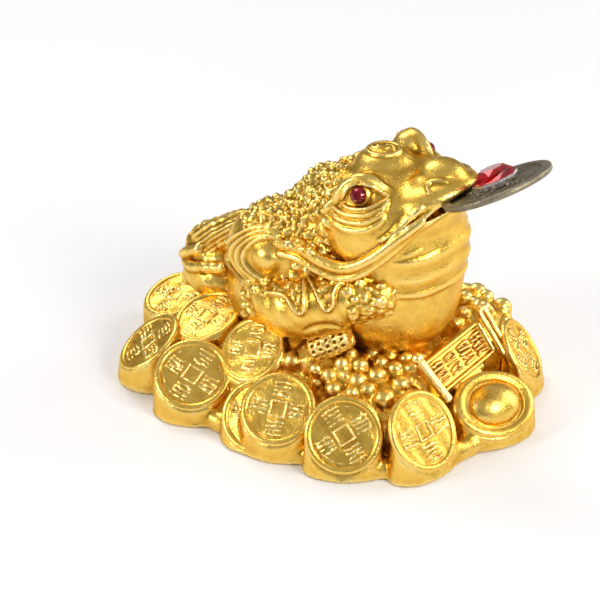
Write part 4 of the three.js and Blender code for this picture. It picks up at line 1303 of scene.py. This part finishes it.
def stones():
    """The coin's stone, a clear girdle under a red crown, and the stones of the eyes, as facets
    between rings."""
    axes = plane_axes(leaning(180, COIN_TILT))
    box_low, box_high = (np.array(corner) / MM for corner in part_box("coin_gem"))
    foot = (box_low + box_high) / 2 - axes[2] * COIN_STONE_FOOT
    for name, rings, material in (("coin_stone_girdle", GIRDLE, clear_stone()),
                                  ("coin_stone_crown", CROWN, red_stone("coin_stone", *RUBY))):
        faceted(name, rings, axes, foot, COIN_STONE_SIDES, material, "coin_gem", "coin_stone")
    garnet = red_stone("eye_stone", *GARNET)
    for side, name in ((-1, "eye_gem_right"), (1, "eye_gem_left")):
        box_low, box_high = (np.array(corner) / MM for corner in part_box(name))
        out = eye_axes(side)[2]
        foot = (box_low + box_high) / 2 - out * EYE_STONE_FOOT
        axes = plane_axes(out)
        faceted(f"{name}_cut", EYE_CUT, axes, foot, EYE_STONE_SIDES, garnet, name, "eye_stone")


# Floor, light and camera

FLOOR_SIZE, FLOOR_LEVEL = 6, -0.0002
# The studio's greys from below to overhead
STUDIO_TONES = [(0.0, (0.2, 0.2, 0.2)), (0.3, (0.26, 0.26, 0.26)), (0.6, (0.46, 0.46, 0.47)),
                (1.0, (0.46, 0.46, 0.47))]
# Square lamps, as [name, place in metres, side in metres, watts], all aimed at one place
LAMPS = [("right_light", (0.52, -0.12, 0.34), 0.22, 2.1),
         ("left_light", (-0.34, -0.50, 0.30), 0.22, 1.8),
         ("top_light", (-0.45, 0.2, 0.62), 0.36, 1.8),
         ("side_light", (0.40, 0.50, 0.28), 0.45, 2.0)]
LAMPS_AIM = Vector((0, 0, 0.03))


def stage():
    """A floor, a studio that is brighter overhead, and four soft lamps."""
    bpy.ops.mesh.primitive_plane_add(size=FLOOR_SIZE, location=(0, 0, FLOOR_LEVEL))
    floor = bpy.context.object
    floor.name = "floor"
    floor.data.materials.append(plain_floor())
    world = bpy.data.worlds.new("studio")
    world.use_nodes = True
    tree = world.node_tree
    height = tree.nodes.new("ShaderNodeSeparateXYZ")
    link(tree, tree.nodes.new("ShaderNodeTexCoord").outputs["Generated"], height.inputs["Vector"])
    tint = ramp(tree, height.outputs["Z"], STUDIO_TONES)
    link(tree, tint, tree.nodes["Background"].inputs["Color"])
    bpy.context.scene.world = world
    bpy.context.scene.view_settings.view_transform = "Standard"
    for name, spot, size, power in LAMPS:
        lamp = bpy.data.objects.new(name, bpy.data.lights.new(name, "AREA"))
        lamp.data.size = size
        lamp.data.energy = power
        lamp.location = spot
        lamp.rotation_euler = (LAMPS_AIM - Vector(spot)).to_track_quat("-Z", "Y").to_euler()
        bpy.context.scene.collection.objects.link(lamp)


def camera():
    """A camera at the photograph's viewpoint, aimed so that the origin falls where it does there."""
    right, up, back = (Vector(axis) for axis in view_axes())
    across, down = (seen - VIEW_SIZE / 2 for seen in ORIGIN_SEEN_AT)
    look = (-back * VIEW_FOCAL - right * across + up * down).normalized()
    side = look.cross(up).normalized()
    lens = bpy.data.objects.new("camera", bpy.data.cameras.new("camera"))
    lens.data.sensor_width = 36
    lens.data.lens = VIEW_FOCAL * lens.data.sensor_width / VIEW_SIZE
    lens.data.clip_start, lens.data.clip_end = 0.01, 10
    turned = Matrix((side, side.cross(look), -look)).transposed().to_4x4()
    lens.matrix_world = Matrix.Translation(back * VIEW_AWAY / 1000) @ turned
    bpy.context.scene.collection.objects.link(lens)
    bpy.context.scene.camera = lens


camera()
stage()
head_and_throat()
back()
hind_leg()
for side in SIDES:
    foreleg(side)
bed()
coins()
dish()
scroll()
roll()
mouth_coin()
stones()
